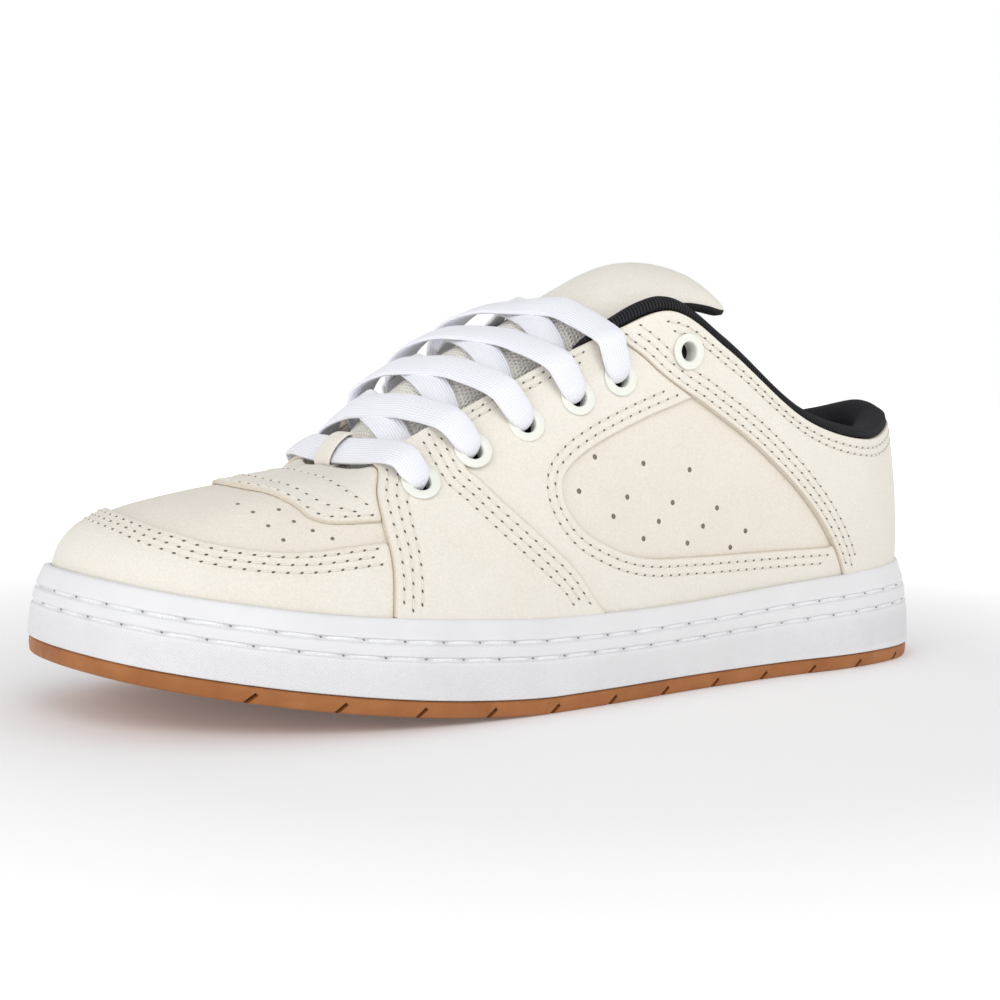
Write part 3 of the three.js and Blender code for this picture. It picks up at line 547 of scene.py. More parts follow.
# Stitch rows: lines on the skin, found from the side view or from above
class Locator:
    """Finds the station and height of points given in one view of one side of the shoe."""

    def __init__(self, first, last, axes):
        self.axes = axes
        stations, heights = np.meshgrid(np.linspace(first, last, 260), np.linspace(0.01, 1, 70), indexing="ij")
        self.values = np.stack([stations.ravel(), heights.ravel()], axis=1)
        flat = skin_point(stations, heights)[..., axes].reshape(-1, 2)
        self.tree = kdtree.KDTree(len(flat))
        for i, (a, b) in enumerate(flat):
            self.tree.insert((a, b, 0), i)
        self.tree.balance()

    def find(self, targets):
        nearest = [self.tree.find((a, b, 0))[1] for a, b in targets]
        values = self.values[nearest].copy()
        step = 0.004
        for _ in range(5):
            here = skin_point(values[:, 0], values[:, 1])[:, self.axes]
            by_s = (skin_point(values[:, 0] + step, values[:, 1])[:, self.axes] - here) / step
            by_h = (skin_point(values[:, 0], values[:, 1] + step)[:, self.axes] - here) / step
            miss = targets - here
            det = by_s[:, 0] * by_h[:, 1] - by_s[:, 1] * by_h[:, 0]
            det = np.where(np.abs(det) < 1e-9, 1e-9, det)
            values[:, 0] += np.clip((miss[:, 0] * by_h[:, 1] - miss[:, 1] * by_h[:, 0]) / det, -0.3, 0.3)
            values[:, 1] += np.clip((by_s[:, 0] * miss[:, 1] - by_s[:, 1] * miss[:, 0]) / det, -0.2, 0.2)
        here = skin_point(values[:, 0], np.clip(values[:, 1], -1, 1))[:, self.axes]
        fits = np.linalg.norm(here - targets, axis=1) < 1.5 * MM
        fits &= (values[:, 1] > 0.012) & (values[:, 1] < 0.99)
        return values, fits


side_locators = {1: Locator(0.6, 11.4, [0, 2]), -1: Locator(12.6, 23.4, [0, 2])}
plan_locator = Locator(-6, 6, [0, 1])


def inset_values(values, fits, distance, axes, inside):
    """Moves a line of stations and heights along the skin, towards the side where the point inside lies."""
    keep = np.where(fits)[0]
    if len(keep) < 5:
        return values[:0], fits[:0]
    values = values[keep]
    first = skin_point(values[:, 0], values[:, 1])
    way = unit(np.gradient(first, axis=0))
    side = unit(np.cross(skin_normal(values[:, 0], values[:, 1]), way))
    middle = len(first) // 2
    toward = np.array(inside) - first[middle, axes]
    side *= np.sign(side[middle, axes] @ toward)
    step = 0.004
    moved = values.copy()
    for _ in range(SIDE_STEPS):
        here = skin_point(moved[:, 0], moved[:, 1])
        by_s = (skin_point(moved[:, 0] + step, moved[:, 1]) - here) / step
        by_h = (skin_point(moved[:, 0], moved[:, 1] + step) - here) / step
        ss, hh, sh = (np.sum(p * q, axis=1) for p, q in ((by_s, by_s), (by_h, by_h), (by_s, by_h)))
        target = side * distance / SIDE_STEPS
        sb, hb = np.sum(target * by_s, axis=1), np.sum(target * by_h, axis=1)
        det = ss * hh - sh * sh
        moved[:, 0] += (sb * hh - hb * sh) / det
        moved[:, 1] += (hb * ss - sb * sh) / det
    here = skin_point(moved[:, 0], moved[:, 1])
    gaps = np.linalg.norm(here[:, None] - first[None], axis=-1).min(axis=1)
    moved = moved[gaps > 0.9 * distance]
    return moved, (moved[:, 1] > 0.012) & (moved[:, 1] < 0.99)


SIDE_STEPS = 4
stitch_rows = []


def add_row(values, fits, top, offset, pitch=STITCH_PITCH):
    """Keeps the longest run of a line that lies on the skin as a row of stitches."""
    runs = np.split(np.arange(len(values)), np.where(np.diff(fits.astype(int)) != 0)[0] + 1)
    runs = [run for run in runs if fits[run[0]] and len(run) > 3]
    if runs:
        run = max(runs, key=len)
        stitch_rows.append({"values": values[run], "top": top, "shift": offset, "pitch": pitch})


def sew_line(line, locator, insets, inside, top, keep=None):
    found, fits = locator.find(line)
    for number, inset in enumerate(insets):
        values, good = inset_values(found, fits, inset * MM, locator.axes, inside)
        if keep is not None and len(values):
            good &= keep(skin_point(values[:, 0], np.clip(values[:, 1], 0, 1)))
        if len(values):
            add_row(values, good, top, 0.5 * (number % 2))


def sew_edge(side, stations, depths, top, keep=None):
    """Rows along the edge of the opening, at depths below it."""
    for number, depth in enumerate(depths):
        line = stations if side > 0 else TURN - stations
        heights = np.array([height_below_edge(station, depth * MM) for station in line])
        values = np.stack([line, heights], axis=1)
        fits = np.ones(len(line), bool)
        if keep is not None:
            fits = keep(skin_point(values[:, 0], values[:, 1]))
        add_row(values, fits, top, 0.5 * (number % 2))


def sew_all():
    ahead = np.array([0.70 * SHOE_LENGTH, 0.4 * EAR_HEIGHT])
    behind = np.array([0.10 * SHOE_LENGTH, 0.5 * EAR_HEIGHT])
    toe = np.array([SHOE_LENGTH, 0])
    throat = np.array([0.65 * SHOE_LENGTH, 0])
    window_rim = np.array([0.60 * SHOE_LENGTH, 0.5 * EAR_HEIGHT])
    for side in (1, -1):
        locator = side_locators[side]
        sew_line(saddle_front, locator, (2.4, 5, 7.6), ahead, TOP_LAYER_RISE)
        sew_line(saddle_rear, locator, (2.4, 5, 7.6), ahead, TOP_LAYER_RISE)
        sew_line(rear_seam, locator, (1.8, 4.4, 7), behind, TOP_LAYER_RISE)
        sew_line(window_curve, locator, (2.4, 5), window_rim, 0,
                 lambda points: side_distance(points, rear_shape) > 1.5 * MM)
        sew_edge(side, np.linspace(4.9, 6.35, 40), (2.2, 4.6), 0,
                 lambda points: side_distance(points, rear_shape) > 2 * MM)
        sew_edge(side, np.linspace(7.2, 11.9, 90), (3.2, 6), TOP_LAYER_RISE,
                 lambda points: side_distance(points, rear_shape) < -9 * MM)

    def in_front(points):
        return side_distance(points, front_shape) < -1.2 * MM

    sew_line(cap_shape[:-2], plan_locator, (1.7, 3.9, 6.1), toe, 0, in_front)
    sew_line(arch_shape[:-2], plan_locator, (1.8,), throat, 0, in_front)
    for rows, tip in ((ARCH_SEAM_1, ARCH_SEAM_TIP_1), (ARCH_SEAM_2, ARCH_SEAM_TIP_2)):
        values, fits = plan_locator.find(plan_outline(rows, tip)[:-2])
        add_row(values, fits & in_front(skin_point(values[:, 0], np.clip(values[:, 1], 0, 1))), 0, 0)


sew_all()


def row_points(row, sink):
    values = row["values"]
    return skin_offset(values[:, 0], values[:, 1], row["top"] - sink)


def resample(row, sink):
    """Stitch holes along a row: points, ways and normals at the row's pitch."""
    values = row["values"]
    points = row_points(row, sink)
    length = np.concatenate([[0], np.cumsum(np.linalg.norm(np.diff(points, axis=0), axis=1))])
    first = row["pitch"] * (0.3 + row["shift"])
    spots = np.arange(first, length[-1], row["pitch"])
    if len(spots) < 2:
        return None
    station = np.interp(spots, length, values[:, 0])
    height = np.interp(spots, length, values[:, 1])
    places = skin_offset(station, height, row["top"] - sink)
    return places, unit(np.gradient(places, axis=0)), skin_normal(station, height)


def trough_tree():
    """Points along every stitch row, in the skin's own place, for the pull of the thread."""
    fine = []
    for row in stitch_rows:
        values = row["values"]
        spots = np.linspace(0, len(values) - 1, 6 * len(values))
        station, height = (np.interp(spots, np.arange(len(values)), values[:, k]) for k in (0, 1))
        fine.append(skin_point(station, height))
    points = np.concatenate(fine)
    tree = kdtree.KDTree(len(points))
    for i, point in enumerate(points):
        tree.insert(point, i)
    tree.balance()
    return tree


stitched = trough_tree()


def pull(points, lift):
    """How far the thread pulls the leather down at each point of the skin."""
    flat = points.reshape(-1, 3)
    gap = np.array([stitched.find(point)[2] for point in flat]).reshape(points.shape[:-1])
    return lift - STITCH_TROUGH * np.exp(-((gap / STITCH_TROUGH_WIDTH) ** 2))


# Panels: a grid on the skin, cut along an outline, with a rounded edge and a real thickness
def cut_skin(distance, stations, heights, top, bottom, wrapped=False):
    s, h = np.meshgrid(stations, heights, indexing="ij")
    points = skin_point(s, h)
    d = distance(points, s, h)
    along = np.linalg.norm(np.gradient(points, stations, axis=0), axis=-1)
    up = np.maximum(np.linalg.norm(np.gradient(points, heights, axis=1), axis=-1), 1e-6)
    by_s = np.gradient(d, stations, axis=0) / along
    by_h = np.gradient(d, heights, axis=1) / up
    steep = np.hypot(by_s, by_h) + 1e-9
    cell = np.minimum(along * np.gradient(stations)[:, None], up * np.gradient(heights)[None, :])
    near = np.abs(d + EDGE_ROUND) / steep < 0.55 * cell

    def move(mask, level, s_now, h_now):
        for _ in range(3):
            miss = level - distance(skin_point(s_now, h_now), s_now, h_now)
            reach = np.clip(miss / steep[mask], -0.002, 0.002) / steep[mask]
            s_now = s_now + reach * by_s[mask] / along[mask]
            h_now = h_now + reach * by_h[mask] / up[mask]
        return s_now, h_now

    s[near], h[near] = move(near, -EDGE_ROUND, s[near], h[near])
    kept = near | (d < -EDGE_ROUND)
    rows, columns = s.shape
    index = np.arange(rows * columns).reshape(rows, columns)
    faces = []
    for i in range(rows if wrapped else rows - 1):
        k = (i + 1) % rows
        for j in range(columns - 1):
            corners = [(i, j), (k, j), (k, j + 1), (i, j + 1)]
            inside = [corner for corner in corners if kept[corner]]
            all_near = all(near[corner] for corner in inside)
            if len(inside) < 3 or (all_near and min(d[corner] for corner in corners) > EDGE_ROUND):
                continue
            faces.append([int(index[corner]) for corner in inside])
    used = np.unique([v for face in faces for v in face])
    lookup = np.full(rows * columns, -1)
    lookup[used] = np.arange(len(used))
    faces = [[int(lookup[v]) for v in face] for face in faces]
    s_used = s.ravel()[used]
    h_used = h.ravel()[used]
    counts = {}
    for face in faces:
        for a, b in zip(face, face[1:] + face[:1]):
            counts[(a, b)] = True
    rim = [(a, b) for a, b in counts if (b, a) not in counts]
    rim_points = sorted({v for edge in rim for v in edge})
    masks = np.unravel_index(used[rim_points], (rows, columns))
    size = len(used)
    s_used[rim_points], h_used[rim_points] = move(masks, -EDGE_ROUND, s_used[rim_points], h_used[rim_points])
    inward = np.clip(-distance(skin_point(s_used, h_used), s_used, h_used), 0, 1)
    rounded = [move(masks, level, s_used[rim_points], h_used[rim_points])
               for level in (-0.3 * EDGE_ROUND, 0)]
    lift = pull(skin_point(s_used, h_used), np.full(size, top))
    rim_lift = lift[rim_points]
    layers = [
        skin_offset(s_used, h_used, lift),
        skin_offset(s_used, h_used, np.full(size, bottom)),
        skin_offset(*rounded[0], rim_lift - 0.3 * EDGE_ROUND),
        skin_offset(*rounded[1], rim_lift - EDGE_ROUND),
        skin_offset(*rounded[1], np.full(len(rim_points), bottom)),
    ]
    order = {v: i for i, v in enumerate(rim_points)}
    starts = [2 * size + k * len(rim_points) for k in range(3)]
    all_faces = list(faces) + [[v + size for v in reversed(face)] for face in faces]
    for a, b in rim:
        chain = [(a, b)] + [(start + order[a], start + order[b]) for start in starts] + [(a + size, b + size)]
        for (a0, b0), (a1, b1) in zip(chain, chain[1:]):
            all_faces.append([b0, a0, a1, b1])
    edge = np.concatenate([inward, inward, np.zeros(3 * len(rim_points))])
    return np.concatenate(layers), all_faces, edge, len(faces)


def skin_stations(first, last):
    count = int(round((last - first) * COLUMNS_A_STATION)) + 1
    return np.linspace(first, last, count)


RIM_ANGLE = math.radians(34)
PANEL_HEIGHTS = np.linspace(-0.06, 1.03, SKIN_ROWS + 4)


def panel(name, distance, first, last, top, material):
    stations = skin_stations(first, last)
    points, faces, edge, _ = cut_skin(distance, stations, PANEL_HEIGHTS, top, -LAYER - 0.1 * MM)
    # The edge attribute, in millimetres from the cut edge, places the painted edge shade and dirt.
    obj = make_object(f"{name}_suede", points, faces, material, {"edge": edge / MM})
    obj.data.set_sharp_from_angle(angle=RIM_ANGLE)
    return finish_piece(obj, [name])


GAP = 0.08 * MM


def open_layer(s, h, points):
    """The limits that every panel shares: the edge, the sole and the eyelet holes."""
    limits = [edge_distance(s, h), low_distance(s, h, -0.05), hole_distance(points, EYELET_BARREL + 0.3 * MM)]
    return np.max(limits, axis=0)


def saddle_distance(points, s, h):
    return np.maximum(side_distance(points, saddle_shape), open_layer(s, h, points))


def rear_distance(points, s, h):
    return np.maximum(side_distance(points, rear_shape), open_layer(s, h, points))


def eyestay_distance(points, s, h):
    cuts = [
        GAP - side_distance(points, saddle_shape),
        GAP - side_distance(points, rear_shape),
        -side_distance(points, window_shape),
        points[..., 0] - 0.735 * SHOE_LENGTH,
        -side_distance(points, front_shape),
        open_layer(s, h, points),
    ]
    return np.max(cuts, axis=0)


def cap_distance(points, s, h):
    cuts = [
        GAP + side_distance(points, front_shape),
        -plan_distance(points, cap_shape),
        open_layer(s, h, points),
    ]
    return np.max(cuts, axis=0)


def arch_distance(points, s, h):
    cuts = [
        GAP + side_distance(points, front_shape),
        plan_distance(points, arch_shape),
        open_layer(s, h, points),
    ]
    return np.max(cuts, axis=0)


# Materials
def new_material(name, colour, roughness):
    material = bpy.data.materials.new(name)
    material.use_nodes = True
    shader = material.node_tree.nodes["Principled BSDF"]
    shader.inputs["Base Color"].default_value = (*colour, 1)
    shader.inputs["Roughness"].default_value = roughness
    return material, material.node_tree, shader


def add_node(tree, kind, **inputs):
    node = tree.nodes.new("ShaderNode" + kind)
    for key, value in inputs.items():
        node.inputs[key.replace("_", " ")].default_value = value
    return node


def noise(tree, scale, detail=4, roughness=0.6):
    coordinates = tree.nodes.new("ShaderNodeTexCoord")
    node = add_node(tree, "TexNoise", Scale=scale, Detail=detail, Roughness=roughness)
    tree.links.new(coordinates.outputs["Object"], node.inputs["Vector"])
    return node.outputs["Fac"]


def ramp(tree, factor, low, high, start=0.35, end=0.65):
    node = tree.nodes.new("ShaderNodeValToRGB")
    tree.links.new(factor, node.inputs["Fac"])
    node.color_ramp.elements[0].color = (*low, 1)
    node.color_ramp.elements[1].color = (*high, 1)
    node.color_ramp.elements[0].position = start
    node.color_ramp.elements[1].position = end
    return node.outputs["Color"]


def math_node(tree, operation, a, b=None):
    node = tree.nodes.new("ShaderNodeMath")
    node.operation = operation
    for socket, value in zip(node.inputs, (a, b)):
        if value is None:
            continue
        if isinstance(value, (int, float)):
            socket.default_value = value
        else:
            tree.links.new(value, socket)
    return node.outputs[0]


def blend_colour(tree, factor, first, second, mode="MIX"):
    node = tree.nodes.new("ShaderNodeMix")
    node.data_type = "RGBA"
    node.blend_type = mode
    for socket, value in zip((node.inputs[0], node.inputs[6], node.inputs[7]), (factor, first, second)):
        if isinstance(value, (int, float)):
            socket.default_value = value
        elif isinstance(value, tuple):
            socket.default_value = (*value, 1)
        else:
            tree.links.new(value, socket)
    return node.outputs[2]


def bump(tree, shader, height, distance, strength=1.0, under=None):
    node = tree.nodes.new("ShaderNodeBump")
    node.inputs["Strength"].default_value = strength
    node.inputs["Distance"].default_value = distance
    tree.links.new(height, node.inputs["Height"])
    if under is not None:
        tree.links.new(under, node.inputs["Normal"])
    tree.links.new(node.outputs["Normal"], shader.inputs["Normal"])
    return node.outputs["Normal"]


def attribute(tree, name):
    node = tree.nodes.new("ShaderNodeAttribute")
    node.attribute_name = name
    return node.outputs["Fac"]


def wave(tree, value, period):
    """Sine of a length in millimetres, from 0 to 1."""
    turned = math_node(tree, "SINE", math_node(tree, "MULTIPLY", value, 2 * math.pi / period))
    return math_node(tree, "MULTIPLY_ADD", turned, 0.5)


SUEDE = (0.815, 0.77, 0.69)
SUEDE_DARK = (0.755, 0.705, 0.615)
SUEDE_LIGHT = (0.865, 0.83, 0.76)
QUARTER_TINT = (0.80, 0.745, 0.66)
QUARTER_DARK = (0.74, 0.68, 0.59)
QUARTER_LIGHT = (0.85, 0.805, 0.725)
# Colour at the panels' cut edges: painted shade of the seams, partly dirt.
EDGE_SHADE_AND_DIRT = (0.86, 0.82, 0.76)


def suede_material(name, base=SUEDE, dark=SUEDE_DARK, light=SUEDE_LIGHT, edge_shade_and_dirt=True):
    """Napped leather: cloudy tone, specks of fibre and, on panels, a cut edge darkened by painted shade and dirt.
    """
    material, tree, shader = new_material(name, base, 0.95)
    clouds = ramp(tree, noise(tree, 40, 6, 0.65), dark, light, 0.2, 0.8)
    specks = ramp(tree, noise(tree, 1500, 6, 0.85), dark, light, 0.42, 0.58)
    colour = blend_colour(tree, 0.6, clouds, specks)
    if edge_shade_and_dirt:
        # Painted shade and dirt: darker within 0.6 mm of a panel's cut edge and on the cut face itself.
        shade = ramp(tree, attribute(tree, "edge"), EDGE_SHADE_AND_DIRT, (1, 1, 1), 0.0, 0.6)
        colour = blend_colour(tree, 1.0, colour, shade, "MULTIPLY")
    tree.links.new(colour, shader.inputs["Base Color"])
    tufts = bump(tree, shader, noise(tree, 1500, 6, 0.8), 0.16 * MM, 0.8)
    bump(tree, shader, noise(tree, 300, 5, 0.7), 0.3 * MM, 0.45, tufts)
    shader.inputs["Sheen Weight"].default_value = 0.12
    shader.inputs["Sheen Roughness"].default_value = 0.6
    shader.inputs["Specular IOR Level"].default_value = 0.15
    return material


def gum_material():
    material, tree, shader = new_material("gum_rubber", (0.35, 0.135, 0.045), 0.55)
    stain = ramp(tree, noise(tree, 90, 4), (0.32, 0.118, 0.037), (0.40, 0.158, 0.052))
    tree.links.new(stain, shader.inputs["Base Color"])
    rough = ramp(tree, noise(tree, 400, 5), (0.42,) * 3, (0.66,) * 3)
    tree.links.new(rough, shader.inputs["Roughness"])
    bump(tree, shader, noise(tree, 2200, 4, 0.7), 0.05 * MM, 0.4)
    shader.inputs["Specular IOR Level"].default_value = 0.25
    return material


def wall_material():
    """White moulded rubber; its hatching is read from the wall's own coordinates."""
    material, tree, shader = new_material("white_rubber", (0.76, 0.76, 0.77), 0.5)
    along = attribute(tree, "along")
    up = attribute(tree, "up")
    hatch = attribute(tree, "hatch")
    rise = wave(tree, math_node(tree, "ADD", along, math_node(tree, "MULTIPLY", up, 1.5)), 1.25)
    fall = wave(tree, math_node(tree, "SUBTRACT", along, math_node(tree, "MULTIPLY", up, 1.1)), 0.95)
    weave = math_node(tree, "MULTIPLY", math_node(tree, "MAXIMUM", rise, fall), hatch)
    grain = bump(tree, shader, noise(tree, 1400, 3), 0.03 * MM, 0.4)
    bump(tree, shader, weave, 0.2 * MM, 0.55, grain)
    dust = ramp(tree, noise(tree, 45, 5), (0.74, 0.74, 0.75), (0.78, 0.78, 0.79))
    lines = ramp(tree, weave, (1, 1, 1), (0.95, 0.95, 0.96), 0.3, 0.8)
    tree.links.new(blend_colour(tree, 1.0, dust, lines, "MULTIPLY"), shader.inputs["Base Color"])
    return material


def lace_material():
    material, tree, shader = new_material("lace_weave", (0.86, 0.865, 0.93), 0.9)
    across = attribute(tree, "across")
    along = attribute(tree, "along")
    ribs = wave(tree, across, 0.82)
    picks = wave(tree, math_node(tree, "ADD", along, math_node(tree, "MULTIPLY", ribs, 0.3)), 0.9)
    weave = math_node(tree, "ADD", ribs, math_node(tree, "MULTIPLY", picks, 0.35))
    # Painted shade: the colour darkens in the troughs between the ribs and lightens on their crests.
    shade = ramp(tree, ribs, (0.80, 0.805, 0.875), (0.885, 0.89, 0.94), 0.0, 0.8)
    tree.links.new(shade, shader.inputs["Base Color"])
    fuzz = bump(tree, shader, noise(tree, 2600, 4, 0.8), 0.05 * MM, 0.4)
    bump(tree, shader, weave, 0.16 * MM, 0.7, fuzz)
    shader.inputs["Sheen Weight"].default_value = 0.3
    return material


def knit_material():
    material, tree, shader = new_material("tongue_knit", (0.72, 0.67, 0.58), 0.95)
    across = attribute(tree, "across")
    along = attribute(tree, "along")
    sway = math_node(tree, "MULTIPLY", math_node(tree, "SINE", math_node(tree, "MULTIPLY", along, 2.4)), 0.35)
    ribs = wave(tree, math_node(tree, "ADD", across, sway), 1.5)
    loops = wave(tree, along, 1.3)
    height = math_node(tree, "ADD", ribs, math_node(tree, "MULTIPLY", loops, 0.6))
    # Painted shade: the low parts of the knit, the holes between the loops, are darker and the raised ribs
    # lighter.
    shade = ramp(tree, height, (0.62, 0.585, 0.52), (0.93, 0.90, 0.83), 0.05, 0.6)
    tree.links.new(shade, shader.inputs["Base Color"])
    fuzz = bump(tree, shader, noise(tree, 2400, 4, 0.8), 0.08 * MM, 0.5)
    bump(tree, shader, height, 0.35 * MM, 0.9, fuzz)
    return material


def binding_material():
    material, tree, shader = new_material("black_binding", (0.012, 0.012, 0.014), 0.85)
    threads = wave(tree, attribute(tree, "along"), 1.05)
    # Painted shade: the colour darkens between the threads and lightens on their crests.
    shade = ramp(tree, threads, (0.004, 0.004, 0.005), (0.030, 0.030, 0.034), 0.1, 0.9)
    tree.links.new(shade, shader.inputs["Base Color"])
    fuzz = bump(tree, shader, noise(tree, 2400, 4, 0.8), 0.1 * MM, 0.6)
    bump(tree, shader, threads, 0.3 * MM, 0.6, fuzz)
    shader.inputs["Specular IOR Level"].default_value = 0.2
    return material


def lining_material(name, dark, light, scale=700):
    material, tree, shader = new_material(name, light, 0.95)
    tree.links.new(ramp(tree, noise(tree, scale, 5, 0.7), dark, light), shader.inputs["Base Color"])
    bump(tree, shader, noise(tree, 1800, 5, 0.8), 0.15 * MM, 0.6)
    return material


def eyelet_material():
    material, tree, shader = new_material("eyelet_paint", (0.80, 0.82, 0.735), 0.34)
    tree.links.new(ramp(tree, noise(tree, 120, 3), (0.79, 0.80, 0.73), (0.82, 0.83, 0.76)),
                   shader.inputs["Base Color"])
    bump(tree, shader, noise(tree, 900, 2), 0.02 * MM, 0.2)
    shader.inputs["Coat Weight"].default_value = 0.25
    shader.inputs["Coat Roughness"].default_value = 0.25
    return material


def thread_material(name, colour):
    material, tree, shader = new_material(name, colour, 0.7)
    darker = tuple(0.86 * value for value in colour)
    tree.links.new(ramp(tree, noise(tree, 2500, 2), darker, colour), shader.inputs["Base Color"])
    shader.inputs["Sheen Weight"].default_value = 0.2
    return material


suede = suede_material("suede")
whole_suede = suede_material("whole_suede", edge_shade_and_dirt=False)
quarter_suede = suede_material("quarter_suede", QUARTER_TINT, QUARTER_DARK, QUARTER_LIGHT, False)
gum = gum_material()
white_rubber = wall_material()
lace_weave = lace_material()
knit = knit_material()
binding = binding_material()
black_lining = lining_material("black_lining", (0.006, 0.006, 0.007), (0.022, 0.022, 0.025))
footbed_cloth = lining_material("footbed_cloth", (0.02, 0.02, 0.022), (0.055, 0.055, 0.06))
eyelet_paint = eyelet_material()
cream_thread = thread_material("cream_thread", (0.84, 0.79, 0.69))
white_thread = thread_material("white_thread", (0.88, 0.885, 0.90))
# Painted shade: the dark plugs in the needle holes of the seams stand for the shade inside the holes.
needle_hole_shade = lining_material("needle_hole", (0.09, 0.08, 0.065), (0.18, 0.16, 0.13))
# Painted shade: grey plugs stand for the shade inside the needle holes of the side wall.
wall_shadow = lining_material("wall_needle_hole", (0.20, 0.20, 0.21), (0.34, 0.34, 0.35))
# Painted shade: brown-grey discs stand for the shade inside the punched holes.
punched_hole_shade = lining_material("punched_hole", (0.17, 0.14, 0.115), (0.26, 0.22, 0.18))


# Sole
SOLE_COLUMNS = 640


def stack_object(name, levels, material, attributes=False):
    """A solid stacked from levels: each gives an inset from the outline and a height for each x."""
    stations = TURN * np.arange(SOLE_COLUMNS) / SOLE_COLUMNS
    foot = outline_point(stations)
    out = outline_normal(stations)
    x = foot[:, 0]
    rings = []
    for inset, height in levels:
        flat = foot - out * inset
        rings.append(np.column_stack([flat, height(x)]))
    points = np.concatenate(rings)
    faces = [tuple(reversed(face)) for face in ring_faces(0, SOLE_COLUMNS, len(levels))]
    half = SOLE_COLUMNS // 2
    for start, upward in ((0, False), ((len(levels) - 1) * SOLE_COLUMNS, True)):
        for k in range(half):
            a, b = start + k, start + (SOLE_COLUMNS - k) % SOLE_COLUMNS
            c, d = start + k + 1, start + (SOLE_COLUMNS - k - 1) % SOLE_COLUMNS
            face = list(dict.fromkeys([a, c, d, b]))
            faces.append(face if upward else face[::-1])
    extra = None
    if attributes:
        step = np.linalg.norm(np.diff(foot, axis=0, append=foot[:1]), axis=1)
        along = np.concatenate([[0], np.cumsum(step)[:-1]]) / MM
        along = np.minimum(along, step.sum() / MM - along)
        up = np.concatenate([ring[:, 2] - spring_at(x) for ring in rings]) / MM
        extra = {"along": np.tile(along, len(levels)), "up": up}
    obj = make_object(name, points, faces, material, extra)
    obj.data.set_sharp_from_angle(angle=math.radians(38))
    return obj


def rounded_gum():
    top = GUM_THICKNESS - CLEARANCE / 2
    round_off = 0.5 * MM
    shape = [
        (GUM_INSET + 1.1 * MM, 0), (GUM_INSET + 0.45 * MM, 0.12 * MM), (GUM_INSET + 0.1 * MM, round_off),
        (GUM_INSET, 2 * round_off), (GUM_INSET - 0.15 * MM, 0.6 * top), (GUM_INSET, top - 0.3 * MM),
        (GUM_INSET + 0.35 * MM, top),
    ]
    return stack_object("gum_sole", [
        (inset, lambda x, rise=rise: spring_at(x) + rise) for inset, rise in shape
    ], gum)


def tread_cutter():
    """Slanted slits across the sole, one after another, as one mesh."""
    points = []
    faces = []
    square = [(-1, -1), (1, -1), (1, 1), (-1, 1)]
    corners = [(a, b, c) for c in (-1, 1) for a, b in square]
    box = [(0, 3, 2, 1), (4, 5, 6, 7), (0, 1, 5, 4), (1, 2, 6, 5), (2, 3, 7, 6), (3, 0, 4, 7)]
    length = 2 * TREAD_DEPTH / math.cos(TREAD_TILT)
    for x in np.arange(TREAD_START, 0.91 * SHOE_LENGTH, TREAD_PITCH):
        turn = Matrix.Rotation(-TREAD_TILT, 3, "Y")
        start = len(points)
        for a, b, c in corners:
            local = turn @ Vector((a * TREAD_GROOVE / 2, b * BALL_WIDTH, c * length / 2))
            points.append((local.x + x, local.y, local.z + float(spring_at(x))))
        faces += [tuple(start + v for v in face) for face in box]
    return make_object("tread_cutter", points, faces, gum)


def cut_tread(body):
    cutter = tread_cutter()
    modifier = body.modifiers.new("tread", "BOOLEAN")
    modifier.operation = "DIFFERENCE"
    modifier.solver = "EXACT"
    modifier.object = cutter
    evaluated = body.evaluated_get(bpy.context.evaluated_depsgraph_get())
    mesh = bpy.data.meshes.new_from_object(evaluated)
    body.modifiers.clear()
    body.data = mesh
    bpy.data.objects.remove(cutter)
    mesh.shade_smooth()
    mesh.set_sharp_from_angle(angle=math.radians(30))


def build_gum():
    body = rounded_gum()
    cut_tread(body)
    finish_piece(body, ["outsole"])


GROOVE_HEIGHTS = (0.60, 0.77)
GROOVE_DEPTH = 1.1 * MM
GROOVE_HALF = 0.75 * MM
WALL_CURVE = [(0.14, -0.02), (0.4, 0.08), (0.6, 0.25), (0.77, 0.46), (0.93, 0.82), (0.975, 0.93)]
wall_inset = open_curve([row[0] for row in WALL_CURVE], [[row[1] * WALL_FLARE] for row in WALL_CURVE])


def low_level(share, start):
    """A level between the top of the gum and the first named height of the wall."""
    inset = WALL_FLARE * (-0.02 + 0.1 * share)
    first = WALL_CURVE[1][0]
    return (inset, lambda x: spring_at(x) + start + share * (first * wall_at(x) - start))


def wall_level(share, deeper=0):
    inset = float(wall_inset(np.array(share))[..., 0]) + deeper
    return (inset, lambda x: spring_at(x) + share * wall_at(x))


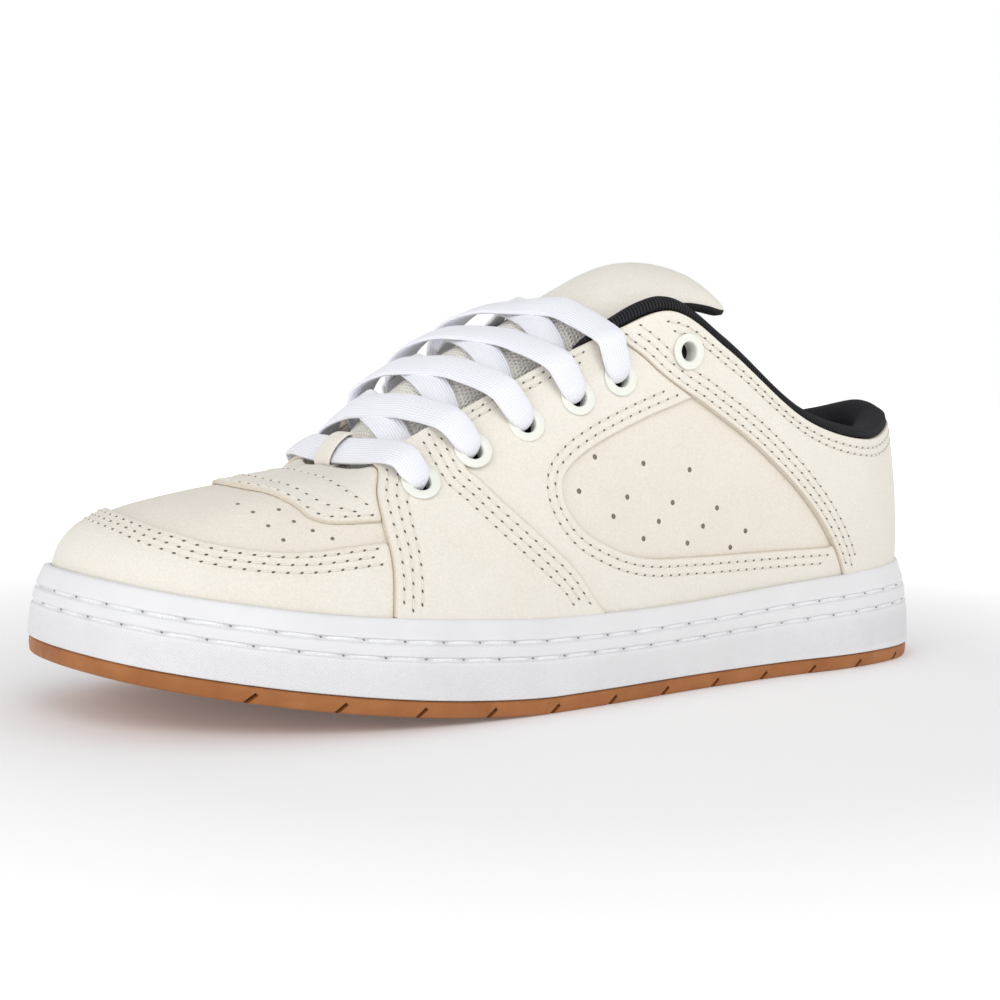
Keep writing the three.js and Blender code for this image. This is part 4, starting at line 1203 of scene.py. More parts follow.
def build_cup():
    start = GUM_THICKNESS + CLEARANCE / 2
    half = GROOVE_HALF / WALL_AT_HEEL * 1.25
    levels = [
        (0.25 * MM, lambda x: spring_at(x) + start),
        (-0.05 * MM, lambda x: spring_at(x) + start + 0.25 * MM),
    ]
    levels += [low_level(share, start) for share in (0.08, 0.3, 0.55, 0.8)]
    levels += [wall_level(share) for share in (0.4, 0.48, 0.545)]
    for middle in GROOVE_HEIGHTS:
        for place, depth in ((-1.25, 0), (-1, 0.08), (-0.8, 0.5), (-0.5, 0.88), (0, 1), (0.5, 0.88), (0.8, 0.5),
                             (1, 0.08), (1.25, 0)):
            levels.append(wall_level(middle + place * half, depth * GROOVE_DEPTH))
        if middle < GROOVE_HEIGHTS[-1]:
            levels.append(wall_level((GROOVE_HEIGHTS[0] + GROOVE_HEIGHTS[1]) / 2))
    levels += [wall_level(share) for share in (0.84, 0.9, 0.95, 0.975)]
    top = WALL_FLARE + RIM_LIP
    levels += [
        (WALL_FLARE - 0.05 * MM, lambda x: spring_at(x) + 0.99 * wall_at(x)),
        (WALL_FLARE + 0.3 * MM, lambda x: spring_at(x) + wall_at(x)),
        (top - 0.3 * MM, lambda x: spring_at(x) + wall_at(x)),
        (top, lambda x: spring_at(x) + wall_at(x) - 0.3 * MM),
        (top, footbed_at),
    ]
    cup = stack_object("cup_sole", levels, white_rubber, True)
    up = np.zeros(len(cup.data.vertices), np.float32)
    cup.data.attributes["up"].data.foreach_get("value", up)
    around = TURN * np.arange(SOLE_COLUMNS) / SOLE_COLUMNS
    wall = np.tile(wall_at(outline_point(around)[:, 0]), len(levels)) / MM
    share = up / wall
    below = np.clip((share - 0.17) * 40, 0, 1) * np.clip((0.565 - share) * 40, 0, 1)
    between = np.clip((share - 0.635) * 40, 0, 1) * np.clip((0.735 - share) * 40, 0, 1)
    layer = cup.data.attributes.new("hatch", "FLOAT", "POINT")
    layer.data.foreach_set("value", (0.8 * below + 0.45 * between).astype(np.float32))
    finish_piece(cup, ["cup"])


GROOVE_STITCH = 11.3 * MM
GROOVE_THREAD = 0.7 * MM


def tube(points, radii, normals, sides=8):
    """Rings of a tube along points; flat tubes take two radii, along the side and the normal."""
    way = unit(np.gradient(points, axis=0))
    side = unit(np.cross(normals, way))
    up = np.cross(way, side)
    angles = 2 * np.pi * np.arange(sides) / sides
    return np.concatenate([
        centre + np.outer(np.cos(angles) * wide, s) + np.outer(np.sin(angles) * high, u)
        for centre, s, u, (wide, high) in zip(points, side, up, radii)
    ])


def add_tube(points, faces, line, radii, normals, sides=8):
    start = sum(len(part) for part in points)
    points.append(tube(line, radii, normals, sides))
    faces += [face[::-1] for face in ring_faces(start, sides, len(line))]
    faces.append(tuple(reversed(range(start, start + sides))))
    last = start + (len(line) - 1) * sides
    faces.append(tuple(range(last, last + sides)))


def add_disc(points, faces, centre, way, normal, long, wide, lift, sides=12):
    """A thin oval plug with a flat top a little above its place."""
    side = np.cross(normal, way)
    angles = 2 * np.pi * np.arange(sides) / sides
    oval = np.outer(np.cos(angles) * long, way) + np.outer(np.sin(angles) * wide, side)
    start = sum(len(part) for part in points)
    points.append(centre + oval - normal * 0.5 * MM)
    points.append(centre + oval + normal * lift)
    faces += [face[::-1] for face in ring_faces(start, sides, 2)]
    faces.append(tuple(reversed(range(start, start + sides))))
    faces.append(tuple(range(start + sides, start + 2 * sides)))


def build_groove_stitches():
    """Long stitches that lie in the two grooves of the side wall and dive in at each end."""
    dense = np.linspace(0, TURN, 2401)[:-1]
    holes = []
    hole_faces = []
    for number, share in enumerate(GROOVE_HEIGHTS):
        foot = outline_point(dense)
        length = np.concatenate([[0], np.cumsum(np.linalg.norm(np.diff(foot, axis=0), axis=1))])
        count = int(length[-1] / GROOVE_STITCH)
        pitch = length[-1] / count
        points = []
        faces = []
        for k in range(count):
            spots = (k + 0.5 * number + np.linspace(0.07, 0.93, 9)) * pitch
            station = np.interp(np.mod(spots, length[-1]), length, dense)
            if station.max() - station.min() > 2:
                continue
            base = outline_point(station)
            out = outline_normal(station)
            dive = np.array([0.8, 0.3, 0.08, 0, 0, 0, 0.08, 0.3, 0.8]) * MM
            inset = float(wall_inset(np.array(share))[..., 0]) + GROOVE_DEPTH - 0.2 * GROOVE_THREAD + dive
            flat = base - out * inset[:, None]
            line = np.column_stack([flat, spring_at(base[:, 0]) + share * wall_at(base[:, 0])])
            normals = np.column_stack([out, np.zeros(len(out))])
            shrink = np.array([0.6, 0.9, 1, 1, 1, 1, 1, 0.9, 0.6])
            add_tube(points, faces, line, np.column_stack([shrink, 0.8 * shrink]) * GROOVE_THREAD, normals)
            spot = line[0] - unit(line[1] - line[0]) * 0.9 * MM + normals[0] * (0.25 * MM + dive[0])
            # The needle hole is a grey plug of painted shade.
            add_disc(holes, hole_faces, spot, unit(line[1] - line[0]), normals[0], 0.55 * MM, 0.3 * MM, 0.03 * MM)
        obj = make_object(f"wall_stitches_{number + 1}", np.concatenate(points), faces, white_thread)
        finish_piece(obj)
    obj = make_object("wall_needle_holes", np.concatenate(holes), hole_faces, wall_shadow)
    finish_piece(obj)


def build_insole():
    inset = BASE_INSET - UPPER_INNER + CLEARANCE
    low = CLEARANCE
    high = CLEARANCE + INSOLE_THICKNESS
    shape = [(inset + 0.6 * MM, low), (inset, low + 0.8 * MM), (inset, high - 1.2 * MM),
             (inset + 0.5 * MM, high - 0.3 * MM), (inset + 1.6 * MM, high)]
    obj = stack_object("insole_pad", [
        (move, lambda x, rise=rise: footbed_at(x) + rise) for move, rise in shape
    ], footbed_cloth)
    finish_piece(obj, ["insole"])


# Upper: the one wall behind the panels, and the panels
def build_upper():
    heights = np.concatenate([[-1, -0.66, -0.33, -0.12], np.linspace(-0.05, 1.03, SKIN_ROWS)])
    count = TURN * COLUMNS_A_STATION
    stations = TURN * np.arange(count) / count

    def distance(points, s, h):
        return np.maximum(edge_distance(s, h), hole_distance(points, EYELET_BARREL + 0.3 * MM))

    points, faces, _, outside = cut_skin(distance, stations, heights, UPPER_OUTER, UPPER_INNER, True)
    upper = make_object("upper_wall", points, faces, quarter_suede)
    upper.data.materials.append(black_lining)
    for polygon in upper.data.polygons[outside:2 * outside]:
        polygon.material_index = 1
    finish_piece(upper, ["upper"])


def build_panels():
    panel("toe_cap", cap_distance, -6, 6, 0, suede)
    panel("vamp_arch", arch_distance, -6, 6, 0, suede)
    for word, first in (("lateral", 0.6), ("medial", 12.6)):
        last = first + 10.8
        panel(f"saddle_{word}", saddle_distance, first, last, TOP_LAYER_RISE, suede)
        panel(f"eyestay_{word}", eyestay_distance, first, last, 0, suede)
    panel("rear_panel", rear_distance, 6, 18, TOP_LAYER_RISE, suede)


# Stitches and punched holes
THREAD_HALF = 0.3 * MM
NEEDLE_LONG = 0.47 * MM
NEEDLE_WIDE = 0.25 * MM


def build_stitches():
    threads, thread_faces, holes, hole_faces = [], [], [], []
    for row in stitch_rows:
        found = resample(row, 0.45 * STITCH_TROUGH)
        if found is None:
            continue
        places, ways, normals = found
        for place, way, normal in zip(places, ways, normals):
            slanted = unit(way + 0.35 * np.cross(normal, way))
            slanted = unit(slanted - normal * (slanted @ normal))
            # Each needle hole is a dark plug of painted shade.
            add_disc(holes, hole_faces, place, slanted, normal, NEEDLE_LONG, NEEDLE_WIDE, 0.06 * MM)
        for i in range(len(places) - 1):
            shares = np.array([0.13, 0.22, 0.4, 0.6, 0.78, 0.87])[:, None]
            line = places[i] + (places[i + 1] - places[i]) * shares
            normal = unit(normals[i] + normals[i + 1])
            rise = np.array([-0.3, 0.2, 0.35, 0.35, 0.2, -0.3])[:, None] * THREAD_HALF
            line = line + normal * rise
            radii = np.array([[0.7, 0.6], [0.95, 0.9], [1, 1], [1, 1], [0.95, 0.9], [0.7, 0.6]]) * THREAD_HALF
            add_tube(threads, thread_faces, line, radii, np.tile(normal, (6, 1)), 6)
    obj = make_object("seam_threads", np.concatenate(threads), thread_faces, cream_thread)
    finish_piece(obj)
    obj = make_object("needle_holes", np.concatenate(holes), hole_faces, needle_hole_shade)
    finish_piece(obj)


def build_perforations():
    points, faces = [], []

    def punch(values, top, radius):
        centre = skin_offset(values[0], values[1], np.array(top))
        normal = skin_normal(values[0], values[1])
        ahead = skin_point(values[0] + 0.02, values[1]) - skin_point(values[0] - 0.02, values[1])
        # Each punched hole is a dark disc of painted shade on the skin.
        add_disc(points, faces, centre, unit(ahead), normal, radius, radius, 0.03 * MM, 20)

    for side in (1, -1):
        targets = []
        for along, up, count in PERFORATION_ROWS:
            for k in range(count):
                targets.append((along + k * PERFORATION_STEP[0], up - k * PERFORATION_STEP[1] * 0.6))
        targets = np.array(targets) * (SHOE_LENGTH, EAR_HEIGHT)
        values, fits = side_locators[side].find(targets)
        for value, fit in zip(values, fits):
            if fit and side_distance(skin_point(*value), window_shape) < -2 * MM:
                punch(value, UPPER_OUTER, PERFORATION_RADIUS)
        targets = np.array([(row[0], side * row[1] - 0.03 * (side < 0)) for row in VAMP_HOLE_ROWS])
        values, fits = plan_locator.find(targets * (SHOE_LENGTH, BALL_WIDTH))
        for value, fit in zip(values, fits):
            if fit:
                point = skin_point(*value)
                covered = plan_distance(point, arch_shape) < 0
                punch(value, 0 if covered else UPPER_OUTER, VAMP_HOLE_RADIUS)
    obj = make_object("punched_holes", np.concatenate(points), faces, punched_hole_shade)
    finish_piece(obj)


# Collar, tongue, laces and eyelets
COLLAR_COLUMNS = 900
COLLAR_AROUND = 30


def build_collar():
    stations = np.linspace(COLLAR_START, TURN - COLLAR_START, COLLAR_COLUMNS)
    rings = []
    lengths = [0.0]
    last = None
    for i, station in enumerate(stations):
        round_off = max(math.sin(math.pi * i / (COLLAR_COLUMNS - 1)), 0)
        pad = COLLAR_PAD * (COLLAR_END_PAD + (1 - COLLAR_END_PAD) * round_off)
        drop = COLLAR_DROP * (COLLAR_END_DROP + (1 - COLLAR_END_DROP) * math.sqrt(round_off))
        taper = min((station - COLLAR_START), (TURN - COLLAR_START - station)) / (COLLAR_FULL - COLLAR_START)
        roll = COLLAR_ROLL * (0.25 + 0.75 * math.sin(math.pi / 2 * min(taper, 1)))
        edge = skin_point(station, 1)
        up = unit(edge - skin_point(station, 0.98))
        out = skin_normal(station, np.array(1.0))
        ring = []
        for rise, away, wall, padding in COLLAR_ROWS:
            offset = away * TOP_LAYER_RISE + wall * (UPPER_INNER - 2 * CLEARANCE) - padding * pad
            if rise < 0:
                ring.append(skin_offset(station, height_below_edge(station, -rise * drop), np.array(offset)))
            else:
                ring.append(edge + up * rise * roll + out * offset)
        rings.append(smooth_ring(ring, COLLAR_AROUND))
        if last is not None:
            lengths.append(lengths[-1] + float(np.linalg.norm(edge - last)))
        last = edge
    points = np.concatenate(rings)
    faces = ring_faces(0, COLLAR_AROUND, COLLAR_COLUMNS)
    faces.append(tuple(range(COLLAR_AROUND)))
    final = (COLLAR_COLUMNS - 1) * COLLAR_AROUND
    faces.append(tuple(reversed(range(final, final + COLLAR_AROUND))))
    along = np.repeat(np.array(lengths) / MM, COLLAR_AROUND)
    obj = make_object("collar", points, faces, binding, {"along": along})
    outward(obj)
    finish_piece(obj, ["collar_lining"])


def smooth_ring(ring, count):
    ring = np.array(ring)
    gaps = np.linalg.norm(np.diff(ring, axis=0, append=ring[:1]), axis=1)
    curve = ring_curve(np.concatenate([[0], np.cumsum(gaps)[:-1]]), ring, gaps.sum())
    return curve(np.linspace(0, gaps.sum(), count + 1)[:-1])


def outward(obj):
    """Turns all faces outward."""
    mesh = bmesh.new()
    mesh.from_mesh(obj.data)
    bmesh.ops.recalc_face_normals(mesh, faces=mesh.faces)
    mesh.to_mesh(obj.data)
    mesh.free()


tongue_curve = open_curve(np.arange(len(TONGUE_ROWS)), [
    [row[0] * SHOE_LENGTH, row[1] * EAR_HEIGHT, row[2] * BALL_WIDTH, row[3] * EAR_HEIGHT,
     row[4] * TONGUE_THICKNESS] for row in TONGUE_ROWS
])
TONGUE_THINNING = 0.35
TONGUE_COLUMNS = 61
TONGUE_STATIONS = 170
KNIT_END = 5.6
TONGUE_CORNER = 1.1
BLACK_EDGE_START = 6.6
FIRST_TONGUE_ROW = 2


def tongue_point(row, across, depth):
    row = np.asarray(row, float)
    across = np.asarray(across, float)
    x, crown, half, drop, _ = np.moveaxis(tongue_curve(row), -1, 0)
    ahead = tongue_curve(row + 0.02)
    behind = tongue_curve(row - 0.02)
    way = unit(ahead[..., :2] - behind[..., :2])
    angle = across * TONGUE_SWEEP
    out = np.stack([way[..., 1] * np.cos(angle), np.sin(angle) + 0 * x, -way[..., 0] * np.cos(angle)], axis=-1)
    y = TONGUE_SIDE * BALL_WIDTH + half * np.sin(angle)
    z = crown - drop * (1 - np.cos(angle))
    return np.stack([x + 0 * angle, y, z], axis=-1) - out * np.asarray(depth)[..., None]


def build_tongue():
    last = len(TONGUE_ROWS) - 1
    rows = last * (np.arange(TONGUE_STATIONS + 1) / TONGUE_STATIONS)
    around = np.linspace(1, -1, TONGUE_COLUMNS)
    rings = []
    lengths = []
    cross = []
    kinds = []
    middle = tongue_point(rows, np.zeros(len(rows)), np.zeros(len(rows)))
    travel = np.concatenate([[0], np.cumsum(np.linalg.norm(np.diff(middle, axis=0), axis=1))]) / MM
    for row, far in zip(rows, travel):
        half = float(tongue_curve(np.array(row))[2])
        thick = float(tongue_curve(np.array(row))[4])
        to_end = (last - row) / 0.35
        to_start = row / 0.25
        end = math.sqrt(max(0.0, 1 - max(0.0, 1 - min(to_end, to_start)) ** 2))
        body = thick * (1 - TONGUE_THINNING * around ** 2)
        edge = np.sqrt(np.clip(1 - np.abs(around) ** 14, 0, 1))
        thickness = np.maximum(body * edge * (0.12 + 0.88 * end), 0.3 * MM)
        centre = 0.5 * body
        corner = max(0.0, 1 - (last - row) / TONGUE_CORNER)
        spread = around * (1 - 0.45 * (1 - math.sqrt(1 - corner ** 2)))
        upper_skin = tongue_point(np.full(TONGUE_COLUMNS, row), spread, centre - thickness / 2)
        under = tongue_point(np.full(TONGUE_COLUMNS, row), spread, centre + thickness / 2)
        rings.append(np.concatenate([upper_skin, under[::-1][1:-1]]))
        count = len(rings[-1])
        lengths += [far] * count
        arc = around * TONGUE_SWEEP * half / MM
        cross += list(np.concatenate([arc, arc[::-1][1:-1]]))
        kinds.append(row)
    size = len(rings[0])
    faces = ring_faces(0, size, len(rings))
    faces.append(tuple(range(size)))
    final = (len(rings) - 1) * size
    faces.append(tuple(reversed(range(final, final + size))))
    tongue = make_object("tongue_pad", np.concatenate(rings), faces, knit, {"along": lengths, "across": cross})
    tongue.data.materials.append(whole_suede)
    tongue.data.materials.append(black_lining)
    strips = len(rings) - 1
    for i in range(strips):
        for j in range(size):
            upper_side = j < TONGUE_COLUMNS - 1
            kind = (0 if kinds[i] < KNIT_END else 1) if upper_side else 2
            if kinds[i] > last - 0.16 or (kinds[i] > BLACK_EDGE_START and (j < 2 or j > TONGUE_COLUMNS - 4)):
                kind = 2
            tongue.data.polygons[i * size + j].material_index = kind
    tongue.data.polygons[-1].material_index = 2
    outward(tongue)
    finish_piece(tongue, ["tongue"])


LACE_LIFT = 1.2 * MM
ARC_SWELL = 0.8
LACE_OVER_EDGE = 3.7 * MM
EYELET_RIM = 0.45 * MM
BAR_TILT = math.radians(50)
OVER_ROWS = [  # side in millimetres, share of the lean towards the toe, rise over the tongue's ridge, more a row
    (-20.5, 0.82, -17, 0),
    (-24, 0.9, -11.5, 0),
    (-25.5, 0.95, -6, 0.2),
    (-24.5, 0.92, -1.5, 0.4),
    (-20, 0.78, 1.8, 0.5),
    (-12, 0.5, 3.5, 0.6),
    (-3, 0.2, 3.2, 0.3),
]
OVER_END = (0.42, 0.38, 2)  # row past the section before the eyelet, across, lift
OVER_LEAN = (0.18, 0.16)
UNDER_ROWS = [  # row past the section before the eyelet, across, lift in millimetres
    (0.05, -1.04, 0.2),
    (0.05, -0.85, 0.2),
    (0.06, -0.6, 0.2),
    (0.1, -0.3, 0.2),
    (0.2, 0, 0.4),
    (0.44, 0.35, 2.4),
    (0.62, 0.62, 4.5),
]
BAR_ROWS = [  # along, across, up
    (0.7195, 0.090, 0.624), (0.7235, 0.020, 0.623), (0.7235, -0.030, 0.623), (0.7235, -0.080, 0.623),
    (0.7195, -0.140, 0.624),
]
LACE_AROUND = 20


def find_eyelet(row, side):
    return next(place for place in eyelets if place["row"] == row and place["side"] == side)


def eyelet_dive(row, side, origin):
    """The lace's way from its last stop over the rim and into the hole: points, normals, width, thickness."""
    place = find_eyelet(row, side)
    point, normal, seat = place["point"], place["normal"], place["seat"]
    up = origin - point
    up = unit(up - normal * (up @ normal))
    rim = seat + EYELET_RIM
    return [
        (point + up * 7 * MM + normal * (rim + 2.2 * MM), normal, 1, 1),
        (point + up * 4 * MM + normal * (rim + 1.3 * MM), unit(normal + 0.05 * up), 0.97, 1.05),
        (point + up * 1.6 * MM + normal * (rim + 0.75 * MM), unit(normal - 0.25 * up), 0.84, 1.15),
        (point + up * 0.1 * MM - normal * (0.8 * MM - rim), unit(normal - 1.5 * up), 0.66, 1.35),
        (point + up * 0.15 * MM - normal * 2.6 * MM, -up, 0.54, 1.4),
        (point + up * 0.1 * MM - normal * 5.6 * MM, -up, 0.54, 1.3),
    ]


def lace_band(points, faces, across, along, stops):
    """A flat woven band along stops of (point, normal, width share, thickness share)."""
    places = np.array([stop[0] for stop in stops])
    gaps = np.concatenate([[0], np.cumsum(np.linalg.norm(np.diff(places, axis=0), axis=1))])
    spots = np.linspace(0, gaps[-1], int(gaps[-1] / (0.9 * MM)) + 2)
    line = open_curve(gaps, places)(spots)
    normals = unit(open_curve(gaps, [stop[1] for stop in stops])(spots))
    width, thick = np.moveaxis(open_curve(gaps, [stop[2:] for stop in stops])(spots), -1, 0)
    way = unit(np.gradient(line, axis=0))
    side = unit(np.cross(normals, way))
    up = np.cross(way, side)
    angles = 2 * np.pi * np.arange(LACE_AROUND) / LACE_AROUND
    cosine = np.sign(np.cos(angles)) * np.abs(np.cos(angles)) ** 0.75
    sine = np.sign(np.sin(angles)) * np.abs(np.sin(angles)) ** 0.6
    start = sum(len(part) for part in points)
    for k in range(len(line)):
        half = LACE_WIDTH / 2 * width[k]
        high = LACE_THICKNESS / 2 * thick[k]
        sag = 0.18 * high * np.cos(np.pi * cosine)
        points.append(line[k] + np.outer(cosine * half, side[k]) + np.outer(sine * high + sag, up[k]))
        across += list(cosine * LACE_WIDTH / 2 / MM)
        along += [float(spots[k]) / MM] * LACE_AROUND
    faces += [face[::-1] for face in ring_faces(start, LACE_AROUND, len(line))]
    faces.append(tuple(reversed(range(start, start + LACE_AROUND))))
    final = start + (len(line) - 1) * LACE_AROUND
    faces.append(tuple(range(final, final + LACE_AROUND)))


def edge_stop(station, side):
    at = station if side > 0 else TURN - station
    return (skin_offset(at, np.array(1.0), np.array(LACE_OVER_EDGE)), skin_normal(at, np.array(1.0)), 1, 1)


def to_eyelet(stops, row, side):
    """Carries a band in one even arc from its last stop over the edge to the eyelet and into the hole."""
    stops = list(stops)
    dive = eyelet_dive(row, side, stops[-1][0])
    first, last = np.array(stops[-1][0]), np.array(dive[0][0])
    whole = last - first
    lead = unit(first - np.array(stops[-2][0])) * np.linalg.norm(whole) * 0.45
    station = EYELET_ROWS[row][0] - 0.3
    edge, out = edge_stop(station, side)[:2]
    reach = np.clip((edge - first) @ whole / (whole @ whole), 0.2, 0.8)
    miss = max(float((edge - first - whole * reach) @ out), 0)
    lean = unit(np.array(stops[-1][1]))
    for share in (0.3, 0.55, 0.8):
        swell = (lead - whole * 0.3) * share * (1 - share) * ARC_SWELL
        lift = out * miss * min(1, share / reach, (1 - share) / (1 - reach))
        normal = unit(lean * (1 - share) + np.array(dive[0][1]) * share)
        stops.append((first + whole * share + swell + lift, normal, 1, 1))
    return stops + dive


def build_crossing(row):
    points, faces, across, along = [], [], [], []
    for side in (-1, 1):
        stops = []
        for at, spread, lift in UNDER_ROWS if side < 0 else [OVER_END]:
            spot = FIRST_TONGUE_ROW + row - 1 + at
            place = tongue_point(spot, side * spread, -(LACE_LIFT + lift * MM))
            normal = tongue_point(spot, side * spread, -1.0) - tongue_point(spot, side * spread, 0.0)
            stops.append((place, unit(normal), 1, 1))
        if side > 0:
            loose = []
            for y, share, rise, more in OVER_ROWS:
                spot = FIRST_TONGUE_ROW + row - 1 + OVER_LEAN[0] - share * (OVER_LEAN[0] + OVER_LEAN[1] * row)
                x, crown = tongue_curve(np.array(spot))[:2]
                place = np.array([x, y * MM, crown + (rise + more * row * 1.1) * MM])
                turn = np.clip((y + 8) / 24, -0.95, 0) + (0 if rise > -5 else -0.05)
                uphill = tongue_point(spot, 0.0, -1.0) - tongue_point(spot, 0.0, 0.0)
                loose.append((place, unit(uphill * (1 + turn) + np.array([0, turn, 0])), 1, 1))
            stops = loose + stops
        lace_band(points, faces, across, along, to_eyelet(stops, row, side))
    name = f"lace_crossing_{row}"
    shape = {"across": across, "along": along}
    obj = make_object(f"{name}_band", np.concatenate(points), faces, lace_weave, shape)
    finish_piece(obj, [name])


def build_bar():
    points, faces, across, along = [], [], [], []
    tilt = np.array([math.sin(BAR_TILT), 0, math.cos(BAR_TILT)])
    middle = [(np.array(row) * (SHOE_LENGTH, BALL_WIDTH, EAR_HEIGHT), tilt, 1, 1) for row in BAR_ROWS]
    lateral = to_eyelet(middle[::-1], 0, 1)[::-1]
    medial = to_eyelet(middle, 0, -1)
    lace_band(points, faces, across, along, lateral + medial[len(middle):])
    shape = {"across": across, "along": along}
    obj = make_object("lace_bar_band", np.concatenate(points), faces, lace_weave, shape)
    finish_piece(obj, ["lace_bar"])


LOOP_LONG = 12.5 * MM
LOOP_HIGH = 5.4 * MM
LOOP_WIDTH = 9 * MM
LOOP_STRIP = 1 * MM


def build_loop():
    """The small bare tag around the first bar: a flat oval strip with softly rounded edges."""
    centre = Vector(np.array(BAR_ROWS[2]) * (SHOE_LENGTH, BALL_WIDTH, EAR_HEIGHT))
    turn = Matrix.Rotation(BAR_TILT, 3, "Y")
    count = 72
    section = []
    half = LOOP_WIDTH / 2
    for angle in np.linspace(0, 2 * np.pi, 21)[:-1]:
        flat = math.copysign(abs(math.cos(angle)) ** 0.35, math.cos(angle)) * half
        deep = math.copysign(abs(math.sin(angle)) ** 0.8, math.sin(angle)) * LOOP_STRIP / 2
        section.append((flat, deep))
    points = []
    for turn_at in 2 * np.pi * np.arange(count) / count:
        c, s = math.cos(turn_at), math.sin(turn_at)
        oval = Vector((LOOP_LONG / 2 * c, 0, LOOP_HIGH / 2 * s))
        away = Vector((c * LOOP_HIGH, 0, s * LOOP_LONG)).normalized()
        for flat, deep in section:
            local = oval + away * (deep - LOOP_STRIP / 2) + Vector((0, flat, 0))
            points.append(centre + turn @ local)
    faces = ring_faces(0, len(section), count, True, True)
    obj = make_object("lace_loop_tag", [tuple(point) for point in points], faces, whole_suede)
    outward(obj)
    finish_piece(obj, ["lace_loop"])


def build_eyelets():
    sides = 56
    for place in eyelets:
        seat = place["seat"]
        depth = UPPER_INNER - CLEARANCE
        rim = seat + EYELET_RIM
        profile = [
            (EYELET_BORE + 0.05 * MM, depth), (EYELET_BORE, depth + 0.3 * MM), (EYELET_BORE, rim - 1.1 * MM),
            (EYELET_BORE + 0.05 * MM, rim - 0.5 * MM), (EYELET_BORE + 0.2 * MM, rim - 0.16 * MM),
            (EYELET_BORE + 0.45 * MM, rim - 0.02 * MM), (EYELET_BORE + 0.75 * MM, rim),
            (EYELET_RADIUS - 0.4 * MM, rim - 0.08 * MM), (EYELET_RADIUS - 0.1 * MM, rim - 0.14 * MM),
            (EYELET_RADIUS, rim - 0.28 * MM), (EYELET_RADIUS - 0.03 * MM, seat - 0.25 * MM),
            (EYELET_BARREL, seat - 0.3 * MM), (EYELET_BARREL, depth),
        ]
        side = np.cross(place["normal"], place["up"])
        angles = 2 * np.pi * np.arange(sides) / sides
        rings = [
            place["point"] + place["normal"] * high + radius * (
                np.outer(np.cos(angles), place["up"]) + np.outer(np.sin(angles), side))
            for radius, high in profile
        ]
        faces = ring_faces(0, sides, len(profile), True, True)
        obj = make_object(f"{place['name']}_ring", np.concatenate(rings), faces, eyelet_paint)
        obj.data.set_sharp_from_angle(angle=math.radians(50))
        outward(obj)
        finish_piece(obj, [place["name"]])


# Camera, light and floor
CAMERA_ROLL = 0.02105
CAMERA_PLACE = Vector((0.26863, 0.38369, 0.08747))
CAMERA_AIM = Vector((0.012, 0.0, 0.054))
CAMERA_LENS = 55


def build_camera():
    back = (CAMERA_PLACE - CAMERA_AIM).normalized()
    right = Vector((0, 0, 1)).cross(back).normalized()
    up = back.cross(right)
    c, s = math.cos(CAMERA_ROLL), math.sin(CAMERA_ROLL)
    axes = Matrix((c * right + s * up, -s * right + c * up, back)).transposed()
    data = bpy.data.cameras.new("camera")
    data.lens = CAMERA_LENS
    data.sensor_width = 36
    data.clip_start = 0.01
    camera = bpy.data.objects.new("camera", data)
    camera.matrix_world = Matrix.Translation(CAMERA_PLACE) @ axes.to_4x4()
    bpy.context.scene.collection.objects.link(camera)
    bpy.context.scene.camera = camera


def area_light(name, place, aim, size, power):
    data = bpy.data.lights.new(name, "AREA")
    data.shape = "RECTANGLE"
    data.size, data.size_y = size
    data.energy = power
    light = bpy.data.objects.new(name, data)
    direction = (Vector(aim) - Vector(place)).normalized()
    light.matrix_world = Matrix.Translation(place) @ direction.to_track_quat("-Z", "Y").to_matrix().to_4x4()
    bpy.context.scene.collection.objects.link(light)


FLOOR_HALF = 12.0
GLOW_NEAR, GLOW_FAR = 0.08, 0.62
GLOW_FROM, GLOW_TO = 0.16, 0.5


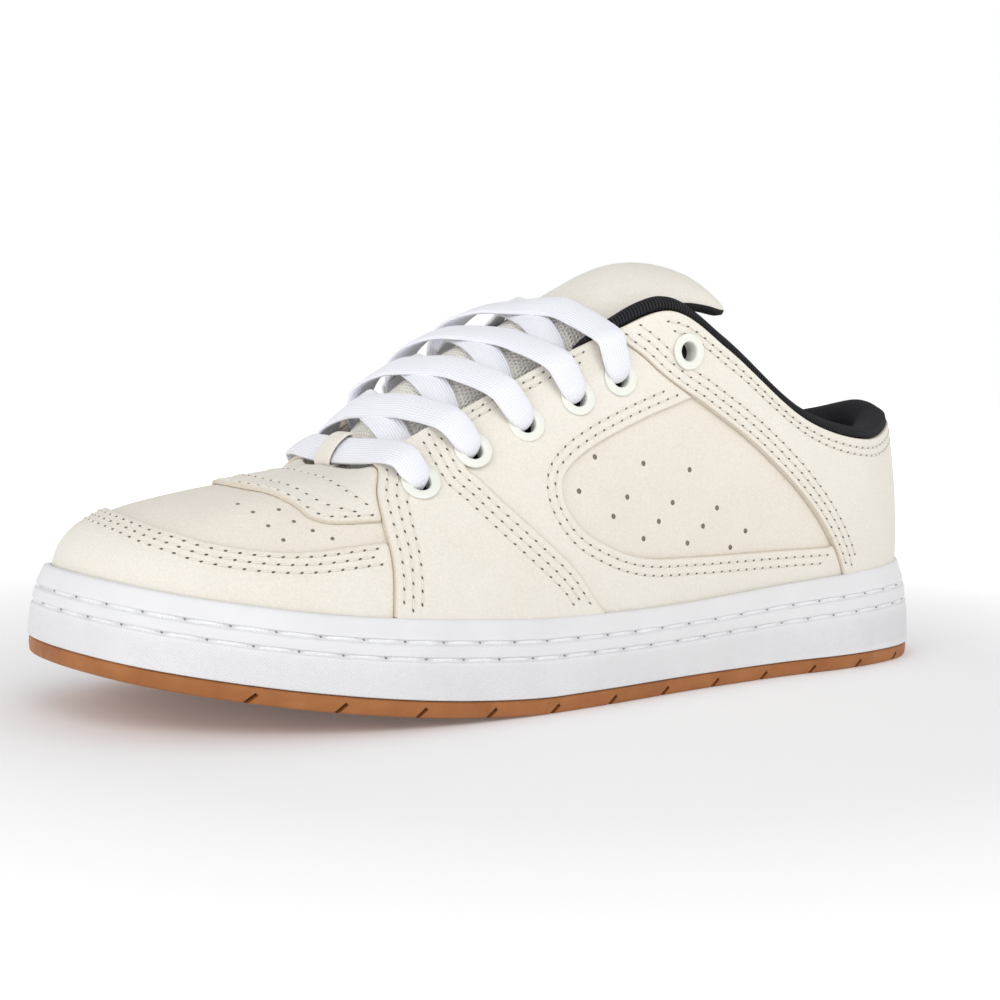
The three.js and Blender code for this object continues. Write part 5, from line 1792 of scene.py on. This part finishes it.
def build_floor():
    """Pale floor with a faint glow that grows away from the shoe, so that it meets the white surroundings."""
    mesh = bpy.data.meshes.new("floor")
    half = FLOOR_HALF
    mesh.from_pydata([(-half, -half, 0), (half, -half, 0), (half, half, 0), (-half, half, 0)], [], [(0, 1, 2, 3)])
    floor = bpy.data.objects.new("floor", mesh)
    bpy.context.scene.collection.objects.link(floor)
    material, tree, shader = new_material("studio_floor", (0.92, 0.92, 0.925), 0.8)
    tree.links.new(ramp(tree, noise(tree, 3, 2), (0.915, 0.915, 0.92), (0.925, 0.925, 0.93)),
                   shader.inputs["Base Color"])
    shader.inputs["Emission Color"].default_value = (1, 1, 1, 1)
    coordinates = tree.nodes.new("ShaderNodeTexCoord")
    away = tree.nodes.new("ShaderNodeVectorMath")
    away.operation = "LENGTH"
    tree.links.new(coordinates.outputs["Object"], away.inputs[0])
    glow = ramp(tree, away.outputs["Value"], (GLOW_NEAR,) * 3, (GLOW_FAR,) * 3, GLOW_FROM, GLOW_TO)
    tree.links.new(glow, shader.inputs["Emission Strength"])
    mesh.materials.append(material)


def build_light():
    """White surroundings, brightest at eye level, with two soft boxes on the camera's side."""
    world = bpy.data.worlds.new("studio")
    bpy.context.scene.world = world
    world.use_nodes = True
    tree = world.node_tree
    coordinates = tree.nodes.new("ShaderNodeTexCoord")
    split = tree.nodes.new("ShaderNodeSeparateXYZ")
    tree.links.new(coordinates.outputs["Generated"], split.inputs["Vector"])
    sky = ramp(tree, split.outputs["Z"], (1, 1, 1), (0.42, 0.42, 0.43), 0.25, 0.9)
    tree.links.new(sky, tree.nodes["Background"].inputs["Color"])
    tree.nodes["Background"].inputs["Strength"].default_value = 1.0
    area_light("key", (0.35, 0.85, 0.75), (0.02, 0, 0.05), (0.7, 0.5), 3.3)
    area_light("side", (0.95, 0.35, 0.5), (0.05, 0, 0.05), (0.5, 0.5), 1.35)
    bpy.context.scene.view_settings.view_transform = "Standard"


build_gum()
build_cup()
build_groove_stitches()
build_insole()
build_upper()
build_panels()
build_stitches()
build_perforations()
build_collar()
build_tongue()
build_bar()
for crossing_row in range(1, 5):
    build_crossing(crossing_row)
build_loop()
build_eyelets()
build_floor()
build_light()
build_camera()
